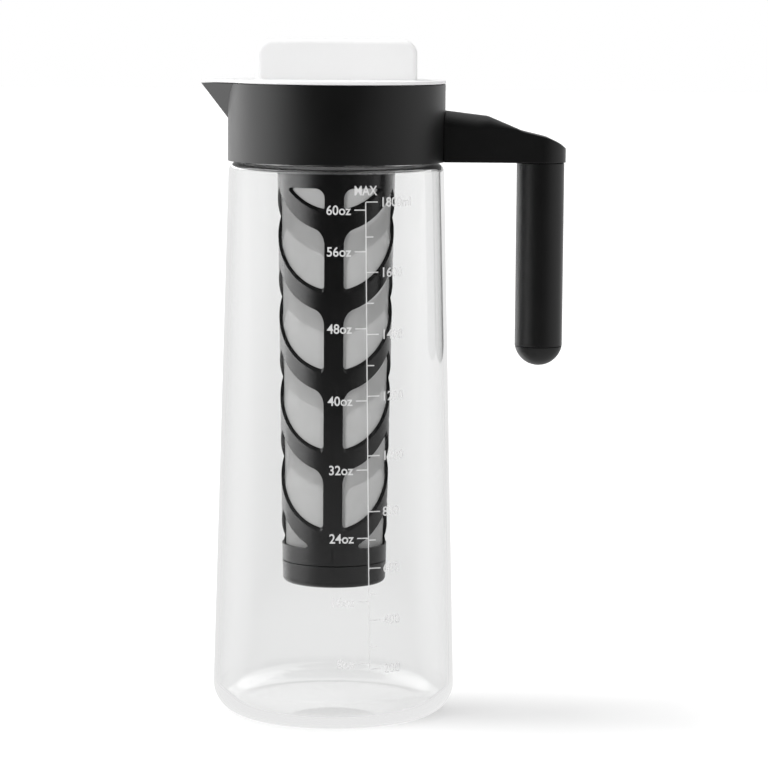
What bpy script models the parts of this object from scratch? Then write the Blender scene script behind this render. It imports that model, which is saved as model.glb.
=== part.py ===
"""Cold brew pitcher: a tapered glass carafe with a plastic collar, spout and side handle,
a lift-off lid, and a caged filter core that screws into the lid.

Metres, +Z up. The origin is the centre of the carafe's foot. The spout points to -X and the
handle to +X. Heights are worked out from the foot upwards, and those of the core from the lid
downwards, because the core hangs from it.
"""

import math

import bmesh
import bpy
from mathutils import Matrix, Vector

# Fits and faceting
FIT_GAP = 0.0003
CUT_OVERRUN = 0.0100
SEAM_MERGE = 0.00001
ARC_TOLERANCE = 0.00015
ROUND_STEPS = 36
SMALL_STEPS = 24
FASTENER_STEPS = 14
HEXAGON = 6
SHARP_ANGLE = math.radians(35)
SAME_ANGLE = math.radians(3)
FLAT_ANGLE = math.radians(1)

# Glass carafe
GLASS_FOOT_RADIUS = 0.0550
GLASS_HEEL_ROUND = 0.0130
GLASS_SHOULDER_HEIGHT = 0.2468
GLASS_SHOULDER_ROUND = 0.0045
GLASS_WALL = 0.0022
GLASS_FLOOR = 0.0040
NECK_HEIGHT = 0.0167
NECK_LIP_DEPTH = 0.0012
NECK_LIP_HEIGHT = 0.0044
NECK_LIP_ROUND = 0.0010

# Collar on the glass neck, which sets the glass neck and shoulder under it
COLLAR_RADIUS = 0.0490
COLLAR_OVERHANG = 0.0003
CLAMP_RING_WALL = 0.0024
COLLAR_HEIGHT = 0.0347
COLLAR_WALL = 0.0030
COLLAR_FOOT_LIP = 0.0013
COLLAR_LIP_CLEARANCE = 0.0004
COLLAR_LEDGE = 0.0020
LEDGE_SETBACK = 0.0007
NECK_GASKET_THICKNESS = 0.0020
NECK_GASKET_OVERHANG = 0.0006
CLAMP_SPLIT = 0.0080

# Spout on the collar
SPOUT_REACH = 0.0121
SPOUT_DEPTH = 0.0157
SPOUT_WALL = 0.0015
SPOUT_HALF_ANGLE = math.radians(20)

# Handle arm, which lofts from the collar to a round elbow over the grip
HANDLE_REACH = 0.0432
ARM_WIDTH = 0.0200
ARM_ROOT_HEIGHT = 0.0230
ARM_TOP_ROUND = 0.0070
ELBOW_RADIUS = 0.0114
SPIGOT_LENGTH = 0.0180
# Share of the reach from the collar, and share of the root height there
ARM_TOP_SHARES = ((0.0, 1.0), (0.449, 0.896), (0.810, 0.609))
# Share of the elbow radius past the grip's axis, and share of the root height there
ELBOW_TOP_SHARES = ((0.237, 0.496), (0.746, 0.378), (1.0, 0.270))
# Share of the reach, and share of the top rounding left there
ARM_ROUND_SHARES = ((0.0, 1.0), (0.32, 1.0), (0.74, 0.10), (1.0, 0.06))
ARM_STATION_SHARES = (0.0, 0.16, 0.32, 0.449, 0.56, 0.65, 0.74, 0.810, 0.90, 1.0)
ELBOW_STATIONS = 7
ARM_CORNER_STEPS = 5
ELBOW_SWEEP = math.radians(86)

# Grip, which a long bolt draws up against the arm
GRIP_RADIUS = 0.01075
GRIP_LENGTH = 0.0829
GRIP_WALL = 0.0025
GRIP_EDGE = 0.0004
GRIP_WEB = 0.0030
GRIP_WEB_RISE = 0.0140
PLUG_RADIUS = 0.0106
PLUG_DOME_DEPTH = 0.0086
PLUG_SPIGOT_WALL = 0.00275
PLUG_SPIGOT_LENGTH = 0.0084
PLUG_RECESS = 0.0021
WASHER_RADIUS = 0.0065
WASHER_THICKNESS = 0.0012
BOLT_RADIUS = 0.0025
BOLT_LENGTH = 0.0750
BOLT_HEAD_RADIUS = 0.00425
BOLT_HEAD_HEIGHT = 0.0035
BOLT_SOCKET_RADIUS = 0.0023
BOLT_SOCKET_DEPTH = 0.0018

# Screws that hold the arm to the collar, put in from the inside
SCREW_RADIUS = 0.0016
SCREW_LENGTH = 0.0150
SCREW_HEAD_RADIUS = 0.0028
SCREW_HEAD_HEIGHT = 0.0016
SCREW_HEAD_EDGE = 0.0005
SCREW_SEAT = 0.0018
SCREW_RISE = 0.0060
SCREW_SPACING = 0.0080
SCREW_COUNT = 2

# Lid
LID_PLATE_THICKNESS = 0.0015
LID_PLATE_EDGE = 0.0004
TAB_LENGTH = 0.0720
TAB_THICKNESS = 0.0140
TAB_HEIGHT = 0.0183
TAB_CORNER = 0.0070
TAB_EDGE_ROUND = 0.0025
TAB_EDGE_STEPS = 3
TAB_WALL = 0.0020
POUR_GROOVE_WIDTH = 0.0030
POUR_GROOVE_DEPTH = 0.0007
SKIRT_CLEARANCE = 0.0014
SKIRT_WALL = 0.0022
SKIRT_DECK = 0.0020
SKIRT_FOOT_GAP = 0.0006
LID_GASKET_HEIGHT = 0.0018
LID_GASKET_DEPTH = 0.0012
LID_GASKET_FIN = 0.0003
LID_GASKET_DROP = 0.0013
POUR_SLOT_WIDTH = 0.0022
POUR_SLOT_HEIGHT = 0.0070
POUR_SLOT_RISE = 0.0012
POUR_SLOT_COUNT = 7
POUR_SLOT_SPACING = math.radians(6)

# Socket under the lid and the core's spigot in it
SPIGOT_RADIUS = 0.0280
SPIGOT_WALL = 0.0018
SPIGOT_HEIGHT = 0.0106
SOCKET_WALL = 0.0022
SOCKET_SHOULDER = 0.0020
SOCKET_SHOULDER_WIDTH = 0.0043
SOCKET_DROP = 0.0263
CORE_FLANGE = 0.0020
CORE_SEAL_THICKNESS = 0.0020

# Cage of the core
CAGE_LENGTH = 0.1856
CAGE_TOP_RADIUS = 0.02674
CAGE_FOOT_RADIUS = 0.0237
CAGE_WALL = 0.0015
CAGE_TOP_BAND = 0.0153
CAGE_FOOT_BAND = 0.0076
RIB_WIDTH = 0.0086
VEIN_THICKNESS = 0.0085
VEIN_COUNT = 5
VEIN_SLOPE = math.radians(45)
VEIN_PITCH_SHARE = 0.2213
FIRST_VEIN_SHARE = 0.539
# The back's veins lie lower than the front's by this share of the pitch
BACK_DROP_SHARE = 0.40
CORE_TURN = math.radians(-1.9)
WINDOW_CORNER = 0.0044
WINDOW_LOW_CORNER = 0.0014
WINDOW_END_ROUND = 0.0018
CORNER_STEPS = 4

# Filter sleeve and its rims
SLEEVE_THICKNESS = 0.0005
SLEEVE_RIM_HEIGHT = 0.0040
SLEEVE_RIM_LIP = 0.0005
FOOT_RIM_HEIGHT = 0.0027

# Base cap of the core
CAP_HEIGHT = 0.0098
CAP_TAPER = 0.0003
CAP_EDGE_ROUND = 0.0022
CAP_FLOOR = 0.0026
CAP_SPIGOT_RISE = 0.0042
CAP_SPIGOT_CLEARANCE = 0.0006
CAP_SPIGOT_WALL = 0.0022
CAP_SEAL_HEIGHT = 0.0012
CAP_SEAL_DEPTH = 0.0008
CAP_SEAL_RISE = 0.0018

# Heights and radii that follow from the sizes above
GLASS_SHOULDER_RADIUS = COLLAR_RADIUS - COLLAR_OVERHANG
NECK_RADIUS = COLLAR_RADIUS - COLLAR_WALL - CLAMP_RING_WALL - 2 * FIT_GAP
GLASS_SHOULDER_TOP = GLASS_SHOULDER_HEIGHT + GLASS_SHOULDER_ROUND
GLASS_RIM = GLASS_SHOULDER_TOP + NECK_HEIGHT
NECK_INNER = NECK_RADIUS - GLASS_WALL
SHOULDER_CENTRE_RADIUS = GLASS_SHOULDER_RADIUS - GLASS_SHOULDER_ROUND
NECK_FILLET = SHOULDER_CENTRE_RADIUS - NECK_RADIUS

COLLAR_FOOT = GLASS_SHOULDER_TOP + FIT_GAP
COLLAR_TOP = COLLAR_FOOT + COLLAR_HEIGHT
COLLAR_INNER = COLLAR_RADIUS - COLLAR_WALL
COLLAR_LIP_INNER = SHOULDER_CENTRE_RADIUS + COLLAR_LIP_CLEARANCE
COLLAR_LIP_TOP = COLLAR_FOOT + COLLAR_FOOT_LIP
NECK_GASKET_FOOT = GLASS_RIM + FIT_GAP
LEDGE_FOOT = NECK_GASKET_FOOT + NECK_GASKET_THICKNESS + FIT_GAP
LEDGE_TOP = LEDGE_FOOT + COLLAR_LEDGE
LEDGE_INNER = NECK_INNER + LEDGE_SETBACK

GRIP_AXIS = COLLAR_RADIUS + HANDLE_REACH
GRIP_TOP = COLLAR_FOOT - FIT_GAP
GRIP_FOOT = GRIP_TOP - GRIP_LENGTH
GRIP_INNER = GRIP_RADIUS - GRIP_WALL
GRIP_WEB_FOOT = GRIP_FOOT + GRIP_WEB_RISE
WASHER_FOOT = GRIP_WEB_FOOT - FIT_GAP - WASHER_THICKNESS
BOLT_SEAT = WASHER_FOOT - FIT_GAP
BOLT_HOLE = BOLT_RADIUS + FIT_GAP
PLUG_TOP = GRIP_FOOT - FIT_GAP

LID_FOOT = COLLAR_TOP + FIT_GAP
LID_TOP = LID_FOOT + LID_PLATE_THICKNESS
SKIRT_RADIUS = COLLAR_INNER - SKIRT_CLEARANCE
SKIRT_TOP = LID_FOOT - FIT_GAP
SKIRT_FOOT = LEDGE_TOP + SKIRT_FOOT_GAP
DECK_FOOT = SKIRT_TOP - SKIRT_DECK
LID_GROOVE_TOP = SKIRT_TOP - LID_GASKET_DROP
LID_GASKET_TOP = LID_GROOVE_TOP - FIT_GAP
LID_GASKET_FOOT = LID_GASKET_TOP - LID_GASKET_HEIGHT
LID_GROOVE_FOOT = LID_GASKET_FOOT - FIT_GAP
LID_GROOVE_RADIUS = SKIRT_RADIUS - LID_GASKET_DEPTH

SOCKET_BORE = SPIGOT_RADIUS + FIT_GAP
SOCKET_RADIUS = SOCKET_BORE + SOCKET_WALL
SOCKET_FOOT = DECK_FOOT - SOCKET_DROP
FLANGE_TOP = SOCKET_FOOT - FIT_GAP
CORE_DATUM = FLANGE_TOP - CORE_FLANGE
SPIGOT_TOP = FLANGE_TOP + SPIGOT_HEIGHT
SPIGOT_BORE = SPIGOT_RADIUS - SPIGOT_WALL
CORE_SEAL_FOOT = SPIGOT_TOP + FIT_GAP
SHOULDER_FOOT = CORE_SEAL_FOOT + CORE_SEAL_THICKNESS + FIT_GAP
SHOULDER_TOP = SHOULDER_FOOT + SOCKET_SHOULDER
SHOULDER_BORE = SOCKET_BORE - SOCKET_SHOULDER_WIDTH

CAGE_FOOT = CORE_DATUM - CAGE_LENGTH
WINDOW_TOP = CORE_DATUM - CAGE_TOP_BAND
WINDOW_FOOT = CAGE_FOOT + CAGE_FOOT_BAND
VEIN_PITCH = VEIN_PITCH_SHARE * (WINDOW_TOP - WINDOW_FOOT)
FIRST_VEIN = WINDOW_TOP - FIRST_VEIN_SHARE * VEIN_PITCH

CAP_TOP = CAGE_FOOT - FIT_GAP
CAP_FOOT = CAP_TOP - CAP_HEIGHT
CAP_SPIGOT_TOP = CAP_TOP + CAP_SPIGOT_RISE
CAP_SPIGOT_RADIUS = CAGE_FOOT_RADIUS - CAGE_WALL - CAP_SPIGOT_CLEARANCE
CAP_SEAL_FOOT = CAP_TOP + CAP_SEAL_RISE
FOOT_RIM_FOOT = CAP_SPIGOT_TOP + FIT_GAP
SLEEVE_FOOT = FOOT_RIM_FOOT + FOOT_RIM_HEIGHT + FIT_GAP
SLEEVE_TOP = FLANGE_TOP + SLEEVE_RIM_HEIGHT
SLEEVE_RIM_FOOT = SLEEVE_TOP + FIT_GAP


def cage_radius(height):
    """Outer radius of the cage's taper at a height."""
    rise = (height - CAGE_FOOT) / (CORE_DATUM - CAGE_FOOT)
    return CAGE_FOOT_RADIUS + (CAGE_TOP_RADIUS - CAGE_FOOT_RADIUS) * rise


def cage_bore(height):
    return cage_radius(height) - CAGE_WALL


def share_at(table, position):
    """Straight-line reading of a table of (position, value) pairs."""
    for (x0, y0), (x1, y1) in zip(table, table[1:]):
        if position <= x1:
            return y0 + (y1 - y0) * (position - x0) / (x1 - x0)
    return table[-1][1]


# Collections, materials and the empties that carry the moving groups

def clear_scene():
    for obj in list(bpy.data.objects):
        bpy.data.objects.remove(obj, do_unlink=True)


def new_collection(name):
    collection = bpy.data.collections.new(name)
    bpy.context.scene.collection.children.link(collection)
    return collection


def new_material(name, colour, roughness, metallic=0.0, transmission=0.0, alpha=1.0):
    material = bpy.data.materials.new(name)
    material.use_nodes = True
    shader = material.node_tree.nodes["Principled BSDF"]
    shader.inputs["Base Color"].default_value = (*colour, 1.0)
    shader.inputs["Roughness"].default_value = roughness
    shader.inputs["Metallic"].default_value = metallic
    shader.inputs["Transmission Weight"].default_value = transmission
    shader.inputs["Alpha"].default_value = alpha
    return material


def new_group(name, height, parent=None):
    group = bpy.data.objects.new(name, None)
    group.location = (0, 0, height)
    PARTS.objects.link(group)
    if parent is not None:
        group.parent = parent
        group.matrix_parent_inverse = parent.matrix_world.inverted()
    bpy.context.view_layer.update()
    return group


def place(obj, group, material):
    """Puts a finished piece in its group, where it already stands in the world."""
    obj.parent = group
    obj.matrix_parent_inverse = group.matrix_world.inverted()
    obj.data.materials.append(material)
    return obj


# Mesh building

def arc(centre, radius, start, end, steps=None):
    """Points on an arc about (r, z), angles in degrees from +r towards +z.

    Without a number of steps, it takes as many as keep its chords within the tolerance.
    """
    if steps is None:
        widest = math.degrees(2 * math.acos(1 - min(1, ARC_TOLERANCE / radius)))
        steps = max(2, math.ceil(abs(end - start) / widest))
    points = []
    for i in range(steps + 1):
        angle = math.radians(start + (end - start) * i / steps)
        points.append((centre[0] + radius * math.cos(angle), centre[1] + radius * math.sin(angle)))
    return points


def joined(*runs):
    """Runs of points end to end, without the points that repeat the one before."""
    points = []
    for run in runs:
        for point in run:
            if not points or math.dist(point, points[-1]) > SEAM_MERGE:
                points.append(point)
    return points


def new_object(name, mesh, collection):
    obj = bpy.data.objects.new(name, mesh)
    collection.objects.link(obj)
    if collection is CUTTERS:
        obj.hide_render = True
        obj.display_type = "WIRE"
    return obj


def turned(name, profile, collection, steps=ROUND_STEPS):
    """A profile of (r, z) turned about Z. One that starts off the axis is a closed ring."""
    mesh = bpy.data.meshes.new(name)
    count = len(profile)
    edges = [(i, i + 1) for i in range(count - 1)]
    if profile[0][0] > 0:
        edges.append((count - 1, 0))
    mesh.from_pydata([(r, 0, z) for r, z in profile], edges, [])
    obj = new_object(name, mesh, collection)
    turn = obj.modifiers.new("turn", "SCREW")
    turn.axis = "Z"
    turn.steps = steps
    turn.render_steps = steps
    turn.use_merge_vertices = True
    turn.merge_threshold = SEAM_MERGE
    turn.use_smooth_shade = True
    return obj


def from_bmesh(name, bm, collection):
    bmesh.ops.recalc_face_normals(bm, faces=bm.faces)
    mesh = bpy.data.meshes.new(name)
    bm.to_mesh(mesh)
    bm.free()
    return new_object(name, mesh, collection)


def rod(name, radius, low, high, collection, steps=SMALL_STEPS):
    """A round bar along Z, from one height to another."""
    bm = bmesh.new()
    middle = Matrix.Translation((0, 0, (low + high) / 2))
    bmesh.ops.create_cone(
        bm, cap_ends=True, segments=steps, radius1=radius, radius2=radius, depth=high - low,
        matrix=middle,
    )
    return from_bmesh(name, bm, collection)


def block(bm, low, high):
    """Adds a box between two corners."""
    middle = (Vector(low) + Vector(high)) / 2
    size = Vector(high) - Vector(low)
    scale = Matrix.Diagonal((*size, 1.0))
    bmesh.ops.create_cube(bm, size=1.0, matrix=Matrix.Translation(middle) @ scale)


def trimmed_block(low, high, planes):
    """A box cut by planes, each a point and the normal of the side that goes."""
    bm = bmesh.new()
    block(bm, low, high)
    for point, normal in planes:
        everything = bm.verts[:] + bm.edges[:] + bm.faces[:]
        cut = bmesh.ops.bisect_plane(
            bm, geom=everything, plane_co=point, plane_no=normal, clear_outer=True
        )
        rim = [item for item in cut["geom_cut"] if isinstance(item, bmesh.types.BMEdge)]
        bmesh.ops.holes_fill(bm, edges=rim, sides=0)
    bmesh.ops.recalc_face_normals(bm, faces=bm.faces)
    return bm


def round_between(bm, first, second, radius):
    """Rounds the edge where the faces with these two normals meet."""
    turn = Vector(first).angle(Vector(second))
    edges = []
    for edge in bm.edges:
        normals = [face.normal for face in edge.link_faces]
        matched = [
            any(normal.angle(Vector(wanted)) < SAME_ANGLE for normal in normals)
            for wanted in (first, second)
        ]
        if all(matched):
            edges.append(edge)
    bmesh.ops.bevel(
        bm, geom=edges, offset=radius * math.tan(turn / 2), offset_type="OFFSET",
        segments=CORNER_STEPS, profile=0.5, affect="EDGES",
    )


def outline_solid(name, points, half_depth, collection, upright=False):
    """A flat closed outline, filled and given a depth. Upright outlines lie in XZ."""
    curve = bpy.data.curves.new(name, "CURVE")
    curve.dimensions = "2D"
    curve.fill_mode = "BOTH"
    curve.extrude = half_depth
    spline = curve.splines.new("POLY")
    spline.points.add(len(points) - 1)
    for target, (x, y) in zip(spline.points, points):
        target.co = (x, y, 0, 1)
    spline.use_cyclic_u = True
    source = bpy.data.objects.new(name + "_outline", curve)
    bpy.context.scene.collection.objects.link(source)
    if upright:
        source.rotation_euler = (math.radians(90), 0, 0)
    bpy.context.view_layer.update()
    graph = bpy.context.evaluated_depsgraph_get()
    mesh = bpy.data.meshes.new_from_object(source.evaluated_get(graph))
    mesh.transform(source.matrix_world)
    bpy.data.objects.remove(source, do_unlink=True)
    bm = bmesh.new()
    bm.from_mesh(mesh)
    bpy.data.meshes.remove(mesh)
    bmesh.ops.remove_doubles(bm, verts=bm.verts, dist=SEAM_MERGE)
    bmesh.ops.dissolve_limit(bm, angle_limit=FLAT_ANGLE, verts=bm.verts, edges=bm.edges)
    return from_bmesh(name, bm, collection)


def boolean(obj, other, operation):
    step = obj.modifiers.new(other.name, "BOOLEAN")
    step.operation = operation
    step.solver = "EXACT"
    step.object = other


def cut(obj, *cutters):
    for cutter in cutters:
        boolean(obj, cutter, "DIFFERENCE")


def settle(obj):
    """Bakes the modifiers into the mesh and shades it smooth between its sharp edges."""
    bpy.context.view_layer.update()
    graph = bpy.context.evaluated_depsgraph_get()
    mesh = bpy.data.meshes.new_from_object(obj.evaluated_get(graph))
    mesh.name = obj.name
    obj.modifiers.clear()
    obj.data = mesh
    mesh.shade_smooth()
    mesh.set_sharp_from_angle(angle=SHARP_ANGLE)


# Carafe: glass, collar and the pieces that join them

def glass_carafe():
    heel_centre = GLASS_FOOT_RADIUS - GLASS_HEEL_ROUND
    inner_heel = GLASS_HEEL_ROUND - GLASS_WALL
    lip_radius = NECK_RADIUS + NECK_LIP_DEPTH
    lip_foot = GLASS_RIM - NECK_LIP_HEIGHT
    rim_centre = GLASS_RIM - NECK_LIP_ROUND
    neck_centre = (SHOULDER_CENTRE_RADIUS, GLASS_SHOULDER_TOP + NECK_FILLET)
    shoulder = (SHOULDER_CENTRE_RADIUS, GLASS_SHOULDER_HEIGHT)
    inside = joined(
        [(0, GLASS_FLOOR)],
        arc((heel_centre, GLASS_FLOOR + inner_heel), inner_heel, 270, 360),
        arc(shoulder, GLASS_SHOULDER_ROUND - GLASS_WALL, 0, 90),
        arc(neck_centre, NECK_FILLET + GLASS_WALL, 270, 180),
        arc((NECK_INNER + NECK_LIP_ROUND, rim_centre), NECK_LIP_ROUND, 180, 90),
    )
    outside = joined(
        arc((lip_radius - NECK_LIP_ROUND, rim_centre), NECK_LIP_ROUND, 90, 0),
        arc((lip_radius - NECK_LIP_ROUND, lip_foot + NECK_LIP_ROUND), NECK_LIP_ROUND, 0, -90),
        [(NECK_RADIUS, lip_foot)],
        arc(neck_centre, NECK_FILLET, 180, 270),
        arc(shoulder, GLASS_SHOULDER_ROUND, 90, 0),
        arc((heel_centre, GLASS_HEEL_ROUND), GLASS_HEEL_ROUND, 0, -90),
        [(0, 0)],
    )
    return turned("glass_carafe", joined(inside, outside), PARTS)


def neck_clamp_ring():
    """Split ring that springs in under the glass lip and keeps the collar from lifting."""
    inner = NECK_RADIUS + FIT_GAP
    outer = COLLAR_INNER - FIT_GAP
    foot = COLLAR_LIP_TOP + FIT_GAP
    top = GLASS_RIM - NECK_LIP_HEIGHT - FIT_GAP
    ring = turned("neck_clamp_ring", [(outer, top), (outer, foot), (inner, foot), (inner, top)], PARTS)
    bm = bmesh.new()
    block(
        bm,
        (0, -CLAMP_SPLIT / 2, foot - CUT_OVERRUN),
        (outer + CUT_OVERRUN, CLAMP_SPLIT / 2, top + CUT_OVERRUN),
    )
    cut(ring, from_bmesh("clamp_split", bm, CUTTERS))
    return ring


def neck_gasket():
    inner = LEDGE_INNER
    outer = NECK_RADIUS + NECK_LIP_DEPTH + NECK_GASKET_OVERHANG
    foot = NECK_GASKET_FOOT
    top = foot + NECK_GASKET_THICKNESS
    return turned("neck_gasket", [(outer, top), (outer, foot), (inner, foot), (inner, top)], PARTS)


def spout_planes(inset):
    """The two facets of the spout, moved inwards by the inset."""
    tip = Vector((-COLLAR_RADIUS - SPOUT_REACH, 0, COLLAR_TOP))
    root = Vector((-COLLAR_RADIUS, 0, COLLAR_TOP - SPOUT_DEPTH))
    planes = []
    for side in (-1, 1):
        corner = Vector((
            -COLLAR_RADIUS * math.cos(SPOUT_HALF_ANGLE),
            side * COLLAR_RADIUS * math.sin(SPOUT_HALF_ANGLE),
            COLLAR_TOP,
        ))
        normal = (corner - tip).cross(root - tip).normalized() * side
        planes.append((tip - normal * inset, normal))
    return planes


def spout_block(name, inset, foot, top, back, collection):
    low = (-COLLAR_RADIUS - SPOUT_REACH - CUT_OVERRUN, -COLLAR_RADIUS, foot)
    high = (back, COLLAR_RADIUS, top)
    return from_bmesh(name, trimmed_block(low, high, spout_planes(inset)), collection)


def on_screw_axis(obj, distance, index):
    """Lays a piece drawn along +Z along +X, on the lower or the upper screw's line."""
    obj.location = (distance, 0, COLLAR_FOOT + SCREW_RISE + SCREW_SPACING * index)
    obj.rotation_euler = (0, math.radians(90), 0)
    return obj


def collar_band():
    """Plain outer drum with the spout wedge, hollowed from inside by one turned cutter."""
    drum = [(0, COLLAR_TOP), (COLLAR_RADIUS, COLLAR_TOP), (COLLAR_RADIUS, COLLAR_FOOT), (0, COLLAR_FOOT)]
    collar = turned("collar_band", drum, PARTS)
    spout_back = -COLLAR_RADIUS * math.cos(SPOUT_HALF_ANGLE)
    spout_foot = COLLAR_TOP - SPOUT_DEPTH - CUT_OVERRUN
    wedge = spout_block("spout_wedge", 0, spout_foot, COLLAR_TOP, spout_back, CUTTERS)
    boolean(collar, wedge, "UNION")
    hollow = [
        (0, COLLAR_TOP + CUT_OVERRUN),
        (COLLAR_INNER, COLLAR_TOP + CUT_OVERRUN),
        (COLLAR_INNER, LEDGE_TOP),
        (LEDGE_INNER, LEDGE_TOP),
        (LEDGE_INNER, LEDGE_FOOT),
        (COLLAR_INNER, LEDGE_FOOT),
        (COLLAR_INNER, COLLAR_LIP_TOP),
        (COLLAR_LIP_INNER, COLLAR_LIP_TOP),
        (COLLAR_LIP_INNER, COLLAR_FOOT - CUT_OVERRUN),
        (0, COLLAR_FOOT - CUT_OVERRUN),
    ]
    trough_back = -COLLAR_INNER + COLLAR_WALL
    trough = spout_block(
        "spout_trough", SPOUT_WALL, LEDGE_TOP + FIT_GAP, COLLAR_TOP + CUT_OVERRUN, trough_back, CUTTERS
    )
    cut(collar, turned("collar_hollow", hollow, CUTTERS), trough, *screw_holes("collar_screw_hole"))
    return collar


def screw_holes(name):
    """Counterbores from inside the collar, and holes on through it and into the arm."""
    bore = SCREW_RADIUS + FIT_GAP
    mouth = SCREW_HEAD_RADIUS + FIT_GAP
    depth = SCREW_LENGTH + FIT_GAP
    mouth_end = -CUT_OVERRUN
    profile = [(0, depth), (bore, depth), (bore, 0), (mouth, 0), (mouth, mouth_end), (0, mouth_end)]
    holes = [turned(f"{name}_{i}", profile, CUTTERS, FASTENER_STEPS) for i in range(SCREW_COUNT)]
    return [on_screw_axis(hole, COLLAR_RADIUS - SCREW_SEAT, i) for i, hole in enumerate(holes)]


def arm_screw(name, index):
    """Pan-head screw that holds the arm."""
    dome_centre = (SCREW_HEAD_RADIUS - SCREW_HEAD_EDGE, -SCREW_HEAD_HEIGHT + SCREW_HEAD_EDGE)
    dome = arc(dome_centre, SCREW_HEAD_EDGE, 0, -90)
    tip = SCREW_LENGTH - FIT_GAP
    profile = joined(
        [(0, tip), (SCREW_RADIUS / 2, tip), (SCREW_RADIUS, tip - SCREW_RADIUS), (SCREW_RADIUS, 0)],
        [(SCREW_HEAD_RADIUS, 0)],
        dome,
        [(0, -SCREW_HEAD_HEIGHT)],
    )
    screw = turned(name, profile, PARTS, FASTENER_STEPS)
    return on_screw_axis(screw, COLLAR_RADIUS - SCREW_SEAT - FIT_GAP, index)


# Handle

def arm_top(x):
    """Height of the arm's top above its flat underside, at a distance from the axis."""
    along = max(0, x - COLLAR_RADIUS) / HANDLE_REACH
    table = list(ARM_TOP_SHARES)
    table += [(1 + ELBOW_RADIUS / HANDLE_REACH * share, height) for share, height in ELBOW_TOP_SHARES]
    return ARM_ROOT_HEIGHT * share_at(table, along)


def arm_section(x, half_width, rounding):
    """The arm's cross-section, round from the middle of its top to its underside and back."""
    top = COLLAR_FOOT + arm_top(x)
    rounding = min(rounding, half_width)
    corner = arc((half_width - rounding, top - rounding), rounding, 90, 0, ARM_CORNER_STEPS)
    half = corner + [(half_width, COLLAR_FOOT)]
    mirrored = [(-y, z) for y, z in reversed(half)]
    return [(x, y, z) for y, z in half + mirrored]


def handle_arm():
    """Loft from the collar to the elbow, which narrows as the round end of the grip's line."""
    sections = [arm_section(COLLAR_RADIUS - COLLAR_WALL, ARM_WIDTH / 2, ARM_TOP_ROUND)]
    for share in ARM_STATION_SHARES:
        half_width = ARM_WIDTH / 2 + (ELBOW_RADIUS - ARM_WIDTH / 2) * share
        rounding = ARM_TOP_ROUND * share_at(ARM_ROUND_SHARES, share)
        sections.append(arm_section(COLLAR_RADIUS + HANDLE_REACH * share, half_width, rounding))
    for i in range(1, ELBOW_STATIONS + 1):
        angle = ELBOW_SWEEP * i / ELBOW_STATIONS
        rounding = ARM_TOP_ROUND * ARM_ROUND_SHARES[-1][1]
        x = GRIP_AXIS + ELBOW_RADIUS * math.sin(angle)
        sections.append(arm_section(x, ELBOW_RADIUS * math.cos(angle), rounding))
    bm = bmesh.new()
    rings = [[bm.verts.new(point) for point in section] for section in sections]
    for near, far in zip(rings, rings[1:]):
        for i in range(len(near)):
            j = (i + 1) % len(near)
            bm.faces.new((near[i], near[j], far[j], far[i]))
    bm.faces.new(rings[0])
    bm.faces.new(rings[-1])
    arm = from_bmesh("handle_arm", bm, PARTS)

    spigot_radius = GRIP_INNER - FIT_GAP
    spigot = rod("arm_spigot", spigot_radius, COLLAR_FOOT - SPIGOT_LENGTH, COLLAR_FOOT + GRIP_WALL, CUTTERS)
    spigot.location.x = GRIP_AXIS
    boolean(arm, spigot, "UNION")
    saddle = rod(
        "arm_saddle", COLLAR_RADIUS + FIT_GAP, COLLAR_FOOT - CUT_OVERRUN, COLLAR_TOP + CUT_OVERRUN,
        CUTTERS, ROUND_STEPS,
    )
    bolt_hole = rod(
        "arm_bolt_hole", BOLT_HOLE, COLLAR_FOOT - SPIGOT_LENGTH - CUT_OVERRUN,
        BOLT_SEAT + BOLT_LENGTH + FIT_GAP, CUTTERS, FASTENER_STEPS,
    )
    bolt_hole.location.x = GRIP_AXIS
    cut(arm, saddle, bolt_hole, *screw_holes("arm_screw_hole"))
    return arm


def on_grip_axis(obj):
    obj.location.x = GRIP_AXIS
    return obj


def grip_tube():
    """Tube with an inner web for the bolt, its outer ends eased."""
    profile = [
        (GRIP_RADIUS - GRIP_EDGE, GRIP_TOP),
        (GRIP_RADIUS, GRIP_TOP - GRIP_EDGE),
        (GRIP_RADIUS, GRIP_FOOT + GRIP_EDGE),
        (GRIP_RADIUS - GRIP_EDGE, GRIP_FOOT),
        (GRIP_INNER, GRIP_FOOT),
        (GRIP_INNER, GRIP_WEB_FOOT),
        (BOLT_HOLE, GRIP_WEB_FOOT),
        (BOLT_HOLE, GRIP_WEB_FOOT + GRIP_WEB),
        (GRIP_INNER, GRIP_WEB_FOOT + GRIP_WEB),
        (GRIP_INNER, GRIP_TOP),
    ]
    return on_grip_axis(turned("grip_tube", profile, PARTS, SMALL_STEPS))


def grip_washer():
    top = WASHER_FOOT + WASHER_THICKNESS
    profile = [(WASHER_RADIUS, top), (WASHER_RADIUS, WASHER_FOOT), (BOLT_HOLE, WASHER_FOOT), (BOLT_HOLE, top)]
    return on_grip_axis(turned("grip_washer", profile, PARTS, FASTENER_STEPS))


def grip_bolt():
    """Cap screw with a hexagon socket in its head."""
    tip = BOLT_SEAT + BOLT_LENGTH
    head_foot = BOLT_SEAT - BOLT_HEAD_HEIGHT
    profile = [
        (0, tip),
        (BOLT_RADIUS, tip),
        (BOLT_RADIUS, BOLT_SEAT),
        (BOLT_HEAD_RADIUS, BOLT_SEAT),
        (BOLT_HEAD_RADIUS, head_foot),
        (0, head_foot),
    ]
    bolt = on_grip_axis(turned("grip_bolt", profile, PARTS, FASTENER_STEPS))
    socket_top = head_foot + BOLT_SOCKET_DEPTH
    socket = rod("bolt_socket", BOLT_SOCKET_RADIUS, head_foot - CUT_OVERRUN, socket_top, CUTTERS, HEXAGON)
    cut(bolt, on_grip_axis(socket))
    return bolt


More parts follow.
